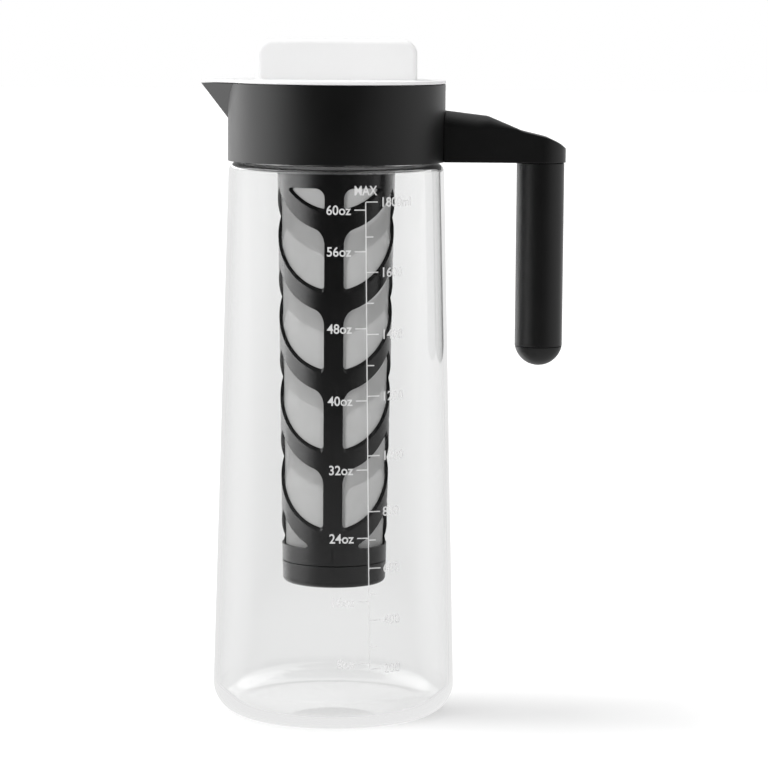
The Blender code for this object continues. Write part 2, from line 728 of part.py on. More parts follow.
def grip_end_plug():
    """Shallow dome below the grip, with a spigot that snaps into the tube."""
    sphere = (PLUG_RADIUS ** 2 + PLUG_DOME_DEPTH ** 2) / (2 * PLUG_DOME_DEPTH)
    centre = PLUG_TOP - PLUG_DOME_DEPTH + sphere
    start = -math.degrees(math.acos(PLUG_RADIUS / sphere))
    spigot_radius = GRIP_INNER - FIT_GAP
    bore = spigot_radius - PLUG_SPIGOT_WALL
    top = PLUG_TOP + PLUG_SPIGOT_LENGTH
    profile = joined(
        [(0, PLUG_TOP - PLUG_RECESS), (bore, PLUG_TOP - PLUG_RECESS), (bore, top), (spigot_radius, top)],
        [(spigot_radius, PLUG_TOP)],
        arc((0, centre), sphere, start, -90)[:-1],
        [(0, PLUG_TOP - PLUG_DOME_DEPTH)],
    )
    return on_grip_axis(turned("grip_end_plug", profile, PARTS, SMALL_STEPS))


# Lid

def plate_outline():
    """The collar's circle with the beak that covers the spout."""
    limit = 180 - math.degrees(SPOUT_HALF_ANGLE)
    rim = arc((0, 0), COLLAR_RADIUS, -limit, limit)
    return rim + [(-COLLAR_RADIUS - SPOUT_REACH, 0)]


def tab_outline(length, foot, top, corner):
    half = length / 2
    right = arc((half - corner, top - corner), corner, 0, 90)
    left = arc((corner - half, top - corner), corner, 90, 180)
    return [(half, foot)] + right + left + [(-half, foot)]


def grip_tab():
    """Upright tab whose outer edges are rounded, down to where it meets the plate."""
    foot = LID_FOOT + LID_PLATE_THICKNESS / 2
    points = tab_outline(TAB_LENGTH, foot, LID_TOP + TAB_HEIGHT, TAB_CORNER)
    tab = outline_solid("lid_tab", points, TAB_THICKNESS / 2, CUTTERS, upright=True)
    bm = bmesh.new()
    bm.from_mesh(tab.data)
    edges = []
    for edge in bm.edges:
        flat = all(abs(abs(vert.co.y) - TAB_THICKNESS / 2) < SEAM_MERGE for vert in edge.verts)
        along = abs(edge.verts[0].co.y - edge.verts[1].co.y) < SEAM_MERGE
        at_foot = all(vert.co.z < foot + SEAM_MERGE for vert in edge.verts)
        if flat and along and not at_foot:
            edges.append(edge)
    bmesh.ops.bevel(
        bm, geom=edges, offset=TAB_EDGE_ROUND, offset_type="OFFSET", segments=TAB_EDGE_STEPS,
        profile=0.5, affect="EDGES",
    )
    bm.to_mesh(tab.data)
    bm.free()
    return tab


def lid_plate():
    """Translucent plate with its hollow tab and a shallow pour groove under the beak."""
    middle = LID_FOOT + LID_PLATE_THICKNESS / 2
    plate = outline_solid("lid_plate", plate_outline(), LID_PLATE_THICKNESS / 2, PARTS)
    plate.data.transform(Matrix.Translation((0, 0, middle)))
    edge = plate.modifiers.new("eased_edge", "BEVEL")
    edge.width = LID_PLATE_EDGE
    edge.segments = 1
    edge.limit_method = "ANGLE"
    edge.angle_limit = SHARP_ANGLE
    boolean(plate, grip_tab(), "UNION")
    inner = tab_outline(
        TAB_LENGTH - 2 * TAB_WALL, LID_FOOT - CUT_OVERRUN, LID_TOP + TAB_HEIGHT - TAB_WALL,
        TAB_CORNER - TAB_WALL,
    )
    hollow = outline_solid("tab_hollow", inner, TAB_THICKNESS / 2 - TAB_WALL, CUTTERS, upright=True)
    bm = bmesh.new()
    block(
        bm,
        (-COLLAR_RADIUS - SPOUT_REACH - CUT_OVERRUN, -POUR_GROOVE_WIDTH / 2, LID_FOOT - CUT_OVERRUN),
        (-COLLAR_RADIUS, POUR_GROOVE_WIDTH / 2, LID_FOOT + POUR_GROOVE_DEPTH),
    )
    cut(plate, hollow, from_bmesh("pour_groove", bm, CUTTERS))
    return plate


def lid_skirt():
    """Skirt that fits the collar, with the core's socket hanging from its deck."""
    profile = [
        (0, SKIRT_TOP),
        (SKIRT_RADIUS, SKIRT_TOP),
        (SKIRT_RADIUS, LID_GROOVE_TOP),
        (LID_GROOVE_RADIUS, LID_GROOVE_TOP),
        (LID_GROOVE_RADIUS, LID_GROOVE_FOOT),
        (SKIRT_RADIUS, LID_GROOVE_FOOT),
        (SKIRT_RADIUS, SKIRT_FOOT),
        (SKIRT_RADIUS - SKIRT_WALL, SKIRT_FOOT),
        (SKIRT_RADIUS - SKIRT_WALL, DECK_FOOT),
        (SOCKET_RADIUS, DECK_FOOT),
        (SOCKET_RADIUS, SOCKET_FOOT),
        (SOCKET_BORE, SOCKET_FOOT),
        (SOCKET_BORE, SHOULDER_FOOT),
        (SHOULDER_BORE, SHOULDER_FOOT),
        (SHOULDER_BORE, SHOULDER_TOP),
        (SOCKET_BORE, SHOULDER_TOP),
        (SOCKET_BORE, DECK_FOOT),
        (0, DECK_FOOT),
    ]
    skirt = turned("lid_skirt", profile, PARTS)
    bm = bmesh.new()
    slot_foot = SKIRT_FOOT + POUR_SLOT_RISE
    for i in range(POUR_SLOT_COUNT):
        angle = math.pi + POUR_SLOT_SPACING * (i - (POUR_SLOT_COUNT - 1) / 2)
        single = bmesh.new()
        block(
            single,
            (SKIRT_RADIUS - 2 * SKIRT_WALL, -POUR_SLOT_WIDTH / 2, slot_foot),
            (SKIRT_RADIUS + SKIRT_WALL, POUR_SLOT_WIDTH / 2, slot_foot + POUR_SLOT_HEIGHT),
        )
        bmesh.ops.rotate(single, verts=single.verts, cent=(0, 0, 0), matrix=Matrix.Rotation(angle, 3, "Z"))
        add_to(bm, single)
    cut(skirt, from_bmesh("pour_slots", bm, CUTTERS))
    return skirt


def add_to(bm, other):
    """Adds one bmesh to another and frees it."""
    mesh = bpy.data.meshes.new("joined_piece")
    other.to_mesh(mesh)
    other.free()
    bm.from_mesh(mesh)
    bpy.data.meshes.remove(mesh)


def lid_gasket():
    """Seal with two fins, in the groove round the skirt."""
    inner = LID_GROOVE_RADIUS + FIT_GAP
    outer = SKIRT_RADIUS + FIT_GAP
    fin = COLLAR_INNER - FIT_GAP
    waist = (LID_GASKET_TOP + LID_GASKET_FOOT) / 2
    profile = [
        (outer, LID_GASKET_TOP),
        (fin, LID_GASKET_TOP - LID_GASKET_FIN),
        (outer, waist),
        (fin, LID_GASKET_FOOT + LID_GASKET_FIN),
        (outer, LID_GASKET_FOOT),
        (inner, LID_GASKET_FOOT),
        (inner, LID_GASKET_TOP),
    ]
    return turned("lid_gasket", profile, PARTS)


# Core

def core_seal():
    inner = SHOULDER_BORE + FIT_GAP
    top = CORE_SEAL_FOOT + CORE_SEAL_THICKNESS
    profile = [(SPIGOT_RADIUS, top), (SPIGOT_RADIUS, CORE_SEAL_FOOT), (inner, CORE_SEAL_FOOT), (inner, top)]
    return turned("core_seal", profile, PARTS)


def vein_foot(index, at_back=False):
    """Height of a vein's lower edge where it meets the front rib, or the back rib."""
    drop = BACK_DROP_SHARE if at_back else 0
    return FIRST_VEIN - VEIN_PITCH * (index + drop)


def window_block(index, at_back):
    """One window beside the front rib, from the vein above it to the vein below it.

    Its far end is a vein of the other half, which crosses the side the other way. A window at
    the back is drawn at the front, and mirrored later. The last one at the front ends in a
    point short of the rib, so its corner there isn't the rib's.
    """
    up = Vector((0, -math.sin(VEIN_SLOPE), math.cos(VEIN_SLOPE)))
    away = Vector((0, math.sin(VEIN_SLOPE), math.cos(VEIN_SLOPE)))
    above = vein_foot(index - 1, at_back)
    below = vein_foot(index, at_back) + VEIN_THICKNESS
    crossing = vein_foot(index, False) if at_back else vein_foot(index - 1, True)
    planes = [
        ((0, -cage_radius(above), above), up),
        ((0, -cage_radius(below), below), -up),
        ((0, cage_radius(crossing), crossing), away),
    ]
    reach = CAGE_TOP_RADIUS + CUT_OVERRUN
    bm = trimmed_block((-reach, -reach, WINDOW_FOOT), (-RIB_WIDTH / 2, reach, WINDOW_TOP), planes)
    rib = (1, 0, 0)
    top = (0, 0, 1)
    foot = (0, 0, -1)
    if above > WINDOW_FOOT + WINDOW_CORNER:
        round_between(bm, rib, up, WINDOW_CORNER)
    round_between(bm, rib, top, WINDOW_CORNER)
    round_between(bm, rib, -up, WINDOW_LOW_CORNER)
    round_between(bm, top, -up, WINDOW_END_ROUND)
    round_between(bm, foot, up, WINDOW_END_ROUND)
    round_between(bm, foot, away, WINDOW_END_ROUND)
    return bm


def window_cutter(at_back):
    """The windows of the front or the back, on both sides of its rib."""
    bm = bmesh.new()
    for index in range(VEIN_COUNT + (0 if at_back else 1)):
        add_to(bm, window_block(index, at_back))
    if at_back:
        bmesh.ops.scale(bm, vec=(1, -1, 1), verts=bm.verts)
    cutter = from_bmesh("back_windows" if at_back else "front_windows", bm, CUTTERS)
    cutter.rotation_euler.z = CORE_TURN
    mirror = cutter.modifiers.new("both_sides", "MIRROR")
    mirror.use_mirror_merge = False
    mirror.merge_threshold = SEAM_MERGE
    return cutter


def core_cage():
    """Tapered cage with a spigot on top, cut by the leaf-shaped windows."""
    profile = [
        (SPIGOT_RADIUS, SPIGOT_TOP),
        (SPIGOT_RADIUS, FLANGE_TOP),
        (SOCKET_RADIUS, FLANGE_TOP),
        (SOCKET_RADIUS, CORE_DATUM),
        (CAGE_TOP_RADIUS, CORE_DATUM),
        (CAGE_FOOT_RADIUS, CAGE_FOOT),
        (cage_bore(CAGE_FOOT), CAGE_FOOT),
        (cage_bore(SLEEVE_TOP), SLEEVE_TOP),
        (SPIGOT_BORE, SLEEVE_TOP),
        (SPIGOT_BORE, SPIGOT_TOP),
    ]
    cage = turned("core_cage", profile, PARTS)
    cut(cage, window_cutter(at_back=False), window_cutter(at_back=True))
    return cage


def mesh_sleeve():
    """Fine filter sleeve, which follows the cage's taper on the inside."""
    top = cage_bore(SLEEVE_TOP) - FIT_GAP
    foot = cage_bore(SLEEVE_FOOT) - FIT_GAP
    profile = [
        (top, SLEEVE_TOP),
        (foot, SLEEVE_FOOT),
        (foot - SLEEVE_THICKNESS, SLEEVE_FOOT),
        (top - SLEEVE_THICKNESS, SLEEVE_TOP),
    ]
    return turned("mesh_sleeve", profile, PARTS)


def mesh_top_rim():
    """Rim that hangs the sleeve on the step inside the spigot."""
    outer = SPIGOT_BORE - FIT_GAP
    inner = cage_bore(SLEEVE_TOP) - FIT_GAP - SLEEVE_THICKNESS - SLEEVE_RIM_LIP
    top = SLEEVE_RIM_FOOT + SLEEVE_RIM_HEIGHT
    profile = [(outer, top), (outer, SLEEVE_RIM_FOOT), (inner, SLEEVE_RIM_FOOT), (inner, top)]
    return turned("mesh_top_rim", profile, PARTS)


def mesh_foot_rim():
    outer = cage_bore(FOOT_RIM_FOOT) - FIT_GAP
    inner = CAP_SPIGOT_RADIUS - CAP_SPIGOT_WALL
    top = FOOT_RIM_FOOT + FOOT_RIM_HEIGHT
    profile = [(outer, top), (outer, FOOT_RIM_FOOT), (inner, FOOT_RIM_FOOT), (inner, top)]
    return turned("mesh_foot_rim", profile, PARTS)


def cap_seal():
    inner = CAP_SPIGOT_RADIUS - CAP_SEAL_DEPTH + FIT_GAP
    outer = CAP_SPIGOT_RADIUS + FIT_GAP
    top = CAP_SEAL_FOOT + CAP_SEAL_HEIGHT
    profile = [(outer, top), (outer, CAP_SEAL_FOOT), (inner, CAP_SEAL_FOOT), (inner, top)]
    return turned("cap_seal", profile, PARTS)


def core_base_cap():
    """Cup that closes the core's foot, with a sealed spigot inside the cage."""
    bore = CAP_SPIGOT_RADIUS - CAP_SPIGOT_WALL
    groove = CAP_SPIGOT_RADIUS - CAP_SEAL_DEPTH
    groove_foot = CAP_SEAL_FOOT - FIT_GAP
    groove_top = CAP_SEAL_FOOT + CAP_SEAL_HEIGHT + FIT_GAP
    foot_radius = CAGE_FOOT_RADIUS - CAP_TAPER
    edge = (foot_radius - CAP_EDGE_ROUND, CAP_FOOT + CAP_EDGE_ROUND)
    profile = joined(
        [(0, CAP_FOOT + CAP_FLOOR), (bore, CAP_FOOT + CAP_FLOOR), (bore, CAP_SPIGOT_TOP)],
        [(CAP_SPIGOT_RADIUS, CAP_SPIGOT_TOP), (CAP_SPIGOT_RADIUS, groove_top), (groove, groove_top)],
        [(groove, groove_foot), (CAP_SPIGOT_RADIUS, groove_foot), (CAP_SPIGOT_RADIUS, CAP_TOP)],
        [(CAGE_FOOT_RADIUS, CAP_TOP)],
        arc(edge, CAP_EDGE_ROUND, 0, -90),
        [(0, CAP_FOOT)],
    )
    return turned("core_base_cap", profile, PARTS)


clear_scene()
PARTS = new_collection("cold_brew_pitcher")
CUTTERS = new_collection("cutters")

CLEAR_GLASS = new_material("clear_glass", (0.95, 0.97, 0.97), 0.02, transmission=1.0, alpha=0.35)
BLACK_PLASTIC = new_material("black_plastic", (0.022, 0.022, 0.023), 0.48)
CORE_PLASTIC = new_material("core_plastic", (0.025, 0.025, 0.026), 0.40)
FROSTED_LID = new_material("frosted_lid", (0.86, 0.87, 0.87), 0.42)
GREY_SILICONE = new_material("grey_silicone", (0.32, 0.33, 0.34), 0.60)
FILTER_MESH = new_material("filter_mesh", (0.62, 0.62, 0.61), 0.70, alpha=0.8)
STEEL = new_material("steel", (0.60, 0.60, 0.62), 0.30, metallic=1.0)

carafe = new_group("carafe_group", 0)
lid = new_group("lid_group", LID_FOOT, carafe)
core = new_group("core_group", SPIGOT_TOP, lid)
cap = new_group("cap_group", CAP_TOP, core)

place(glass_carafe(), carafe, CLEAR_GLASS)
place(neck_clamp_ring(), carafe, BLACK_PLASTIC)
place(neck_gasket(), carafe, GREY_SILICONE)
place(collar_band(), carafe, BLACK_PLASTIC)
place(handle_arm(), carafe, BLACK_PLASTIC)
place(arm_screw("arm_screw_lower", 0), carafe, STEEL)
place(arm_screw("arm_screw_upper", 1), carafe, STEEL)
place(grip_tube(), carafe, BLACK_PLASTIC)
place(grip_washer(), carafe, STEEL)
place(grip_bolt(), carafe, STEEL)
place(grip_end_plug(), carafe, BLACK_PLASTIC)
place(lid_plate(), lid, FROSTED_LID)
place(lid_skirt(), lid, FROSTED_LID)
place(lid_gasket(), lid, GREY_SILICONE)
place(core_seal(), core, GREY_SILICONE)
place(core_cage(), core, CORE_PLASTIC)
place(mesh_sleeve(), core, FILTER_MESH)
place(mesh_top_rim(), core, CORE_PLASTIC)
place(mesh_foot_rim(), core, CORE_PLASTIC)
place(cap_seal(), cap, GREY_SILICONE)
place(core_base_cap(), cap, CORE_PLASTIC)

for piece in list(PARTS.objects):
    if piece.type == "MESH":
        settle(piece)
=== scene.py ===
import math

import bmesh
import bpy
from mathutils import Matrix, Vector


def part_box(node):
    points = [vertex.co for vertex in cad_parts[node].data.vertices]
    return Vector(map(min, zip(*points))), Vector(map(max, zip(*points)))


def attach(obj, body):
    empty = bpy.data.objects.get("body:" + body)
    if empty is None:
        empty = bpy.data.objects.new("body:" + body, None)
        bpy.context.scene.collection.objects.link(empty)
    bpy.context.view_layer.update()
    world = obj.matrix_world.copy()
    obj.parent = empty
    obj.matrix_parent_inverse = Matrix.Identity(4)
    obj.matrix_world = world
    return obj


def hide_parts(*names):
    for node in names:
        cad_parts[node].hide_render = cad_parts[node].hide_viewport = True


# Everything is in metres, in the frame of the solids: +Z up, the handle to +X, the spout to -X.
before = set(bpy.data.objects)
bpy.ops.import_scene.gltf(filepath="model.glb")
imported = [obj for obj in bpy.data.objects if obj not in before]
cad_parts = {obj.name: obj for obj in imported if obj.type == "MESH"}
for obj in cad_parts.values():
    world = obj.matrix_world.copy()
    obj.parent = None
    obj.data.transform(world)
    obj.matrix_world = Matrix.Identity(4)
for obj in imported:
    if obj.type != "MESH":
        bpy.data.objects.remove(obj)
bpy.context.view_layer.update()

# Faceting and edges
TURN_STEPS = 160
SMALL_TURN_STEPS = 64
ARC_STEPS = 10
EDGE = 0.00035
THIN_EDGE = 0.0003
FINE_EDGE = 0.00015
EDGE_STEPS = 3
BEVEL_STEPS = 2
# An eased corner takes at most this share of the lines that meet in it
EDGE_LIMIT_SHARE = 0.45
SHARP_ANGLE = math.radians(32)
SAME_ANGLE = math.radians(3)
MERGE = 0.000002
OVERRUN = 0.010
FIT = 0.0003


# Reading the frame

def span(node):
    """Foot, top and outer radius of a node that is round about its own upright axis."""
    low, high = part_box(node)
    return low.z, high.z, (high.y - low.y) / 2


def bore(node):
    """Inner radius of a ring node about the pitcher's axis."""
    return min(math.hypot(vertex.co.x, vertex.co.y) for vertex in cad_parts[node].data.vertices)


# Readings and outlines of (r, z)

def reading(position, start, end, first, last):
    """Straight-line reading between two values."""
    share = (position - start) / (end - start)
    return first + (last - first) * share


def stepped(start, *turns):
    """Outline that goes on to each radius and each height in turn."""
    points = [start]
    for i, value in enumerate(turns):
        r, z = points[-1]
        points.append((r, value) if i % 2 else (value, z))
    return points


def arc(centre, radius, start, end, steps=ARC_STEPS):
    """Points about (r, z), angles in degrees from +r towards +z."""
    points = []
    for i in range(steps + 1):
        angle = math.radians(start + (end - start) * i / steps)
        points.append((centre[0] + radius * math.cos(angle), centre[1] + radius * math.sin(angle)))
    return points


def joined(*runs):
    """Runs of points one after the other, without doubles."""
    points = []
    for run in runs:
        for point in run:
            if not points or math.dist(point, points[-1]) > MERGE:
                points.append(point)
    return points


def eased(outline, radius=EDGE):
    """Rounds every sharp corner of an outline. One that starts off the axis is a closed ring."""
    closed = outline[0][0] > MERGE
    count = len(outline)
    points = []
    for i, here in enumerate(outline):
        if not closed and i in (0, count - 1):
            points.append(here)
            continue
        before = Vector(outline[i - 1])
        after = Vector(outline[(i + 1) % count])
        corner = Vector(here)
        to_before = before - corner
        to_after = after - corner
        turn = math.pi - to_before.angle(to_after)
        if turn < SHARP_ANGLE:
            points.append(here)
            continue
        shorter = min(to_before.length, to_after.length)
        reach = min(radius * math.tan(turn / 2), shorter * EDGE_LIMIT_SHARE)
        first = corner + to_before.normalized() * reach
        last = corner + to_after.normalized() * reach
        for step in range(EDGE_STEPS + 1):
            t = step / EDGE_STEPS
            points.append(tuple(first * (1 - t) ** 2 + corner * (2 * t * (1 - t)) + last * t ** 2))
    return points


def ring(node, radius=EDGE):
    """Eased rectangular section of a ring node."""
    foot, top, outer = span(node)
    inner = bore(node)
    return eased([(outer, top), (outer, foot), (inner, foot), (inner, top)], radius)


# Meshes

def finished_mesh(name, bm):
    """Ends the construction of a mesh."""
    mesh = bpy.data.meshes.new(name)
    bm.to_mesh(mesh)
    bm.free()
    return mesh


def placed(name, data):
    """New object in the scene."""
    obj = bpy.data.objects.new(name, data)
    bpy.context.scene.collection.objects.link(obj)
    return obj


def new_object(name, bm):
    """New object with the mesh under construction, its faces turned outwards."""
    bmesh.ops.recalc_face_normals(bm, faces=bm.faces)
    return placed(name, finished_mesh(name, bm))


def turned(name, outline, steps=TURN_STEPS):
    """An outline turned about Z, with the turn and the length along the outline as its UV."""
    bm = bmesh.new()
    layer = bm.loops.layers.uv.new("along")
    rings = []
    for r, z in outline:
        if r < MERGE:
            rings.append([bm.verts.new((0, 0, z))])
            continue
        angles = [2 * math.pi * i / steps for i in range(steps)]
        rings.append([bm.verts.new((r * math.cos(a), r * math.sin(a), z)) for a in angles])
    lengths = [0.0]
    for here, after in zip(outline, outline[1:] + outline[:1]):
        lengths.append(lengths[-1] + math.dist(here, after))
    rings.append(rings[0])
    for k in range(len(outline)):
        if len(rings[k]) == len(rings[k + 1]) == 1:
            continue
        for i in range(steps):
            corners = {}
            for row, turn in ((k, i), (k, i + 1), (k + 1, i + 1), (k + 1, i)):
                vert = rings[row][turn % len(rings[row])]
                corners.setdefault(vert, (turn / steps, lengths[row]))
            face = bm.faces.new(list(corners))
            for loop, place in zip(face.loops, corners.values()):
                loop[layer].uv = place
    return new_object(name, bm)


def rod_outline(radius, low, high):
    """Outline of a solid rod about the axis."""
    return stepped((0, high), radius, low, 0)


def block(bm, low, high):
    """Adds a box, given two opposite corners."""
    middle = (Vector(low) + Vector(high)) / 2
    size = Vector(high) - Vector(low)
    matrix = Matrix.Translation(middle) @ Matrix.Diagonal((*size, 1.0))
    bmesh.ops.create_cube(bm, size=1.0, matrix=matrix)


def trimmed_block(low, high, planes):
    """A box cut by planes, each a point and the normal of the side that goes."""
    bm = bmesh.new()
    block(bm, low, high)
    for point, normal in planes:
        everything = bm.verts[:] + bm.edges[:] + bm.faces[:]
        cut_through = bmesh.ops.bisect_plane(
            bm, geom=everything, plane_co=point, plane_no=normal, clear_outer=True
        )
        rim = [item for item in cut_through["geom_cut"] if isinstance(item, bmesh.types.BMEdge)]
        bmesh.ops.holes_fill(bm, edges=rim, sides=0)
    bmesh.ops.recalc_face_normals(bm, faces=bm.faces)
    return bm


def add_to(bm, other):
    """Moves one mesh under construction into another."""
    mesh = finished_mesh("joined_piece", other)
    bm.from_mesh(mesh)
    bpy.data.meshes.remove(mesh)


def lofted(sections):
    """A closed shape through sections with the same number of points."""
    bm = bmesh.new()
    rows = [[bm.verts.new(point) for point in section] for section in sections]
    for near, far in zip(rows, rows[1:]):
        for i in range(len(near)):
            j = (i + 1) % len(near)
            bm.faces.new((near[i], near[j], far[j], far[i]))
    bm.faces.new(rows[0])
    bm.faces.new(rows[-1])
    bmesh.ops.recalc_face_normals(bm, faces=bm.faces)
    return bm


def settle(obj):
    """Bakes the modifiers into the mesh."""
    bpy.context.view_layer.update()
    graph = bpy.context.evaluated_depsgraph_get()
    mesh = bpy.data.meshes.new_from_object(obj.evaluated_get(graph))
    mesh.name = obj.name
    obj.modifiers.clear()
    obj.data = mesh


def combine(obj, other, operation="DIFFERENCE"):
    """Cuts another object out of this one, or adds it, and removes it."""
    step = obj.modifiers.new("combine", "BOOLEAN")
    step.operation = operation
    step.solver = "EXACT"
    step.object = other
    settle(obj)
    bpy.data.objects.remove(other, do_unlink=True)


def cut_box(obj, low, high):
    """Cuts a box out of a piece, given two opposite corners."""
    bm = bmesh.new()
    block(bm, low, high)
    combine(obj, new_object("box", bm))


def ease_edges(obj, width=EDGE):
    """Rounds the sharp edges of a finished shape."""
    step = obj.modifiers.new("eased", "BEVEL")
    step.width = width
    step.segments = BEVEL_STEPS
    step.limit_method = "ANGLE"
    step.angle_limit = SHARP_ANGLE
    step.use_clamp_overlap = True
    settle(obj)


def smooth(obj):
    """Smooth shading that keeps flats flat and leaves real corners sharp."""
    obj.data.shade_smooth()
    obj.data.set_sharp_from_angle(angle=SHARP_ANGLE)
    step = obj.modifiers.new("flats", "WEIGHTED_NORMAL")
    step.keep_sharp = True
    step.weight = 50
    settle(obj)


def dress(obj, material, body, *nodes):
    """Gives a finished piece its material and seats it on its body in place of its solids."""
    smooth(obj)
    obj.data.materials.clear()
    obj.data.materials.append(material)
    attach(obj, body)
    if nodes:
        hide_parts(*nodes)


# Materials

# Noise seldom leaves this range
NOISE_LOW = 0.3
NOISE_HIGH = 0.7
PATCH_SCALE = 38
GLOSS_CHANGE = 0.03


class Tree:
    """Adds nodes to a material or a world."""

    def __init__(self, tree):
        self.nodes = tree.nodes
        self.links = tree.links

    def math(self, operation, result, *others):
        """Math nodes from one value to the next, each a socket or a number."""
        for other in others:
            step = self.nodes.new("ShaderNodeMath")
            step.operation = operation
            for value, socket in zip((result, other), step.inputs):
                if isinstance(value, (int, float)):
                    socket.default_value = value
                else:
                    self.links.new(value, socket)
            result = step.outputs[0]
        return result

    def map_range(self, source, *limits):
        """Node that takes a value from one range to another: start, end, low and high."""
        step = self.nodes.new("ShaderNodeMapRange")
        for socket, limit in zip(("From Min", "From Max", "To Min", "To Max"), limits):
            step.inputs[socket].default_value = limit
        self.links.new(source, step.inputs["Value"])
        return step


class Surface(Tree):
    """A new material with plain values on its shader, and ways to vary them."""

    def __init__(self, name, values):
        self.material = bpy.data.materials.new(name)
        self.material.use_nodes = True
        super().__init__(self.material.node_tree)
        self.shader = self.nodes["Principled BSDF"]
        for socket, value in values.items():
            self.shader.inputs[socket].default_value = value

    def feed(self, output, socket):
        """Links an output to one of the shader's sockets."""
        self.links.new(output, self.shader.inputs[socket])

    def noise(self, scale, detail):
        """Noise in the piece's own metres."""
        texture = self.nodes.new("ShaderNodeTexNoise")
        texture.inputs["Scale"].default_value = scale
        texture.inputs["Detail"].default_value = detail
        place = self.nodes.new("ShaderNodeTexCoord")
        self.links.new(place.outputs["Object"], texture.inputs["Vector"])
        return texture.outputs["Fac"]

    def tint(self, source, colours):
        """Colour between two others, by noise."""
        ramp = self.nodes.new("ShaderNodeValToRGB")
        for element, position, colour in zip(ramp.color_ramp.elements, (NOISE_LOW, NOISE_HIGH), colours):
            element.position = position
            element.color = (*colour, 1)
        self.links.new(source, ramp.inputs["Fac"])
        self.feed(ramp.outputs["Color"], "Base Color")

    def gloss(self, source, low, high):
        """Roughness between two values, by noise."""
        self.feed(self.map_range(source, NOISE_LOW, NOISE_HIGH, low, high).outputs["Result"], "Roughness")

    def bump(self, source, depth, strength=0.5):
        """Relief with a depth in metres."""
        step = self.nodes.new("ShaderNodeBump")
        step.inputs["Strength"].default_value = strength
        step.inputs["Distance"].default_value = depth
        self.links.new(source, step.inputs["Height"])
        self.feed(step.outputs["Normal"], "Normal")


def moulded(name, colours, rough, grain, depth, specular):
    """Moulded plastic or rubber: a fine eroded grain, and gloss that varies over broad patches."""
    surface = Surface(name, {"Specular IOR Level": specular})
    patches = surface.noise(PATCH_SCALE, 3)
    surface.tint(patches, colours)
    surface.gloss(patches, rough - GLOSS_CHANGE, rough + GLOSS_CHANGE)
    surface.bump(surface.noise(grain, 2), depth)
    return surface.material


def clear_glass():
    """Clear glass, very slightly wavy, that lets the lamps through and traps no light in its wall."""
    base = (0.958, 0.960, 0.959, 1)
    surface = Surface(
        "clear_glass", {"Base Color": base, "Roughness": 0.0, "IOR": 1.50, "Transmission Weight": 1.0}
    )
    surface.bump(surface.noise(12, 1), 0.0002, 0.03)
    nodes, links = surface.nodes, surface.links
    path = nodes.new("ShaderNodeLightPath")
    shown = surface.shader.outputs["BSDF"]
    for kind, tint in (("Is Reflection Ray", 0.90), ("Is Shadow Ray", 0.94)):
        through = nodes.new("ShaderNodeBsdfTransparent")
        through.inputs["Color"].default_value = (tint, tint, tint, 1)
        mix = nodes.new("ShaderNodeMixShader")
        links.new(path.outputs[kind], mix.inputs["Fac"])
        links.new(shown, mix.inputs[1])
        links.new(through.outputs["BSDF"], mix.inputs[2])
        shown = mix.outputs["Shader"]
    links.new(shown, nodes["Material Output"].inputs["Surface"])
    return surface.material


def frosted_lid():
    """Milky moulded plastic that light gets into."""
    surface = Surface("frosted_lid", {"Transmission Weight": 0.12, "IOR": 1.49})
    patches = surface.noise(30, 2)
    surface.tint(patches, LID_WHITES)
    surface.gloss(patches, 0.46, 0.54)
    surface.bump(surface.noise(2600, 2), 0.00003, 0.4)
    return surface.material


def filter_mesh():
    """Fine woven mesh: threads over and under each other, and light through their gaps."""
    surface = Surface("filter_mesh", {"Roughness": 0.65, "Specular IOR Level": 0.2, "Alpha": 0.40})
    place = surface.nodes.new("ShaderNodeUVMap")
    place.uv_map = "along"
    split = surface.nodes.new("ShaderNodeSeparateXYZ")
    surface.links.new(place.outputs["UV"], split.inputs["Vector"])
    waves = []
    for socket, length in (("X", SLEEVE_TURN_LENGTH), ("Y", 1.0)):
        threads = 2 * math.pi * round(length / MESH_PITCH)
        waves.append(surface.math("SINE", surface.math("MULTIPLY", split.outputs[socket], threads), 0))
    surface.tint(surface.noise(90, 3), MESH_GREYS)
    surface.bump(surface.math("MULTIPLY", *waves), 0.00006, 0.3)
    return surface.material


def steel():
    """Drawn stainless steel."""
    surface = Surface("steel", {"Metallic": 1.0, "Base Color": (0.60, 0.60, 0.62, 1)})
    drawn = surface.noise(900, 3)
    surface.gloss(drawn, 0.22, 0.36)
    surface.bump(drawn, 0.00001, 0.3)
    return surface.material


def white_print():
    """Screen-printed white, thin enough for the glass to show through."""
    surface = Surface("white_print", {"Roughness": 0.6, "Alpha": 0.56})
    surface.tint(surface.noise(700, 3), PRINT_WHITES)
    return surface.material


BLACKS = ((0.0026, 0.0026, 0.0027), (0.0036, 0.0036, 0.0037))
SILICONE_GREYS = ((0.28, 0.29, 0.30), (0.34, 0.35, 0.36))
LID_WHITES = ((0.955, 0.955, 0.955), (0.975, 0.975, 0.975))
MESH_GREYS = ((0.72, 0.72, 0.715), (0.78, 0.78, 0.775))
PRINT_WHITES = ((0.84, 0.84, 0.84), (0.90, 0.90, 0.90))
MESH_PITCH = 0.00042
SLEEVE_TURN_LENGTH = 0.150

CLEAR_GLASS = clear_glass()
BLACK_PLASTIC = moulded("black_plastic", BLACKS, rough=0.42, grain=3000, depth=0.00002, specular=0.5)
CORE_PLASTIC = moulded("core_plastic", BLACKS, rough=0.24, grain=3000, depth=0.0000015, specular=0.85)
FROSTED_LID = frosted_lid()
GREY_SILICONE = moulded("grey_silicone", SILICONE_GREYS, rough=0.62, grain=1500, depth=0.00002, specular=0.3)
FILTER_MESH = filter_mesh()
STEEL = steel()
WHITE_PRINT = white_print()

# Carafe

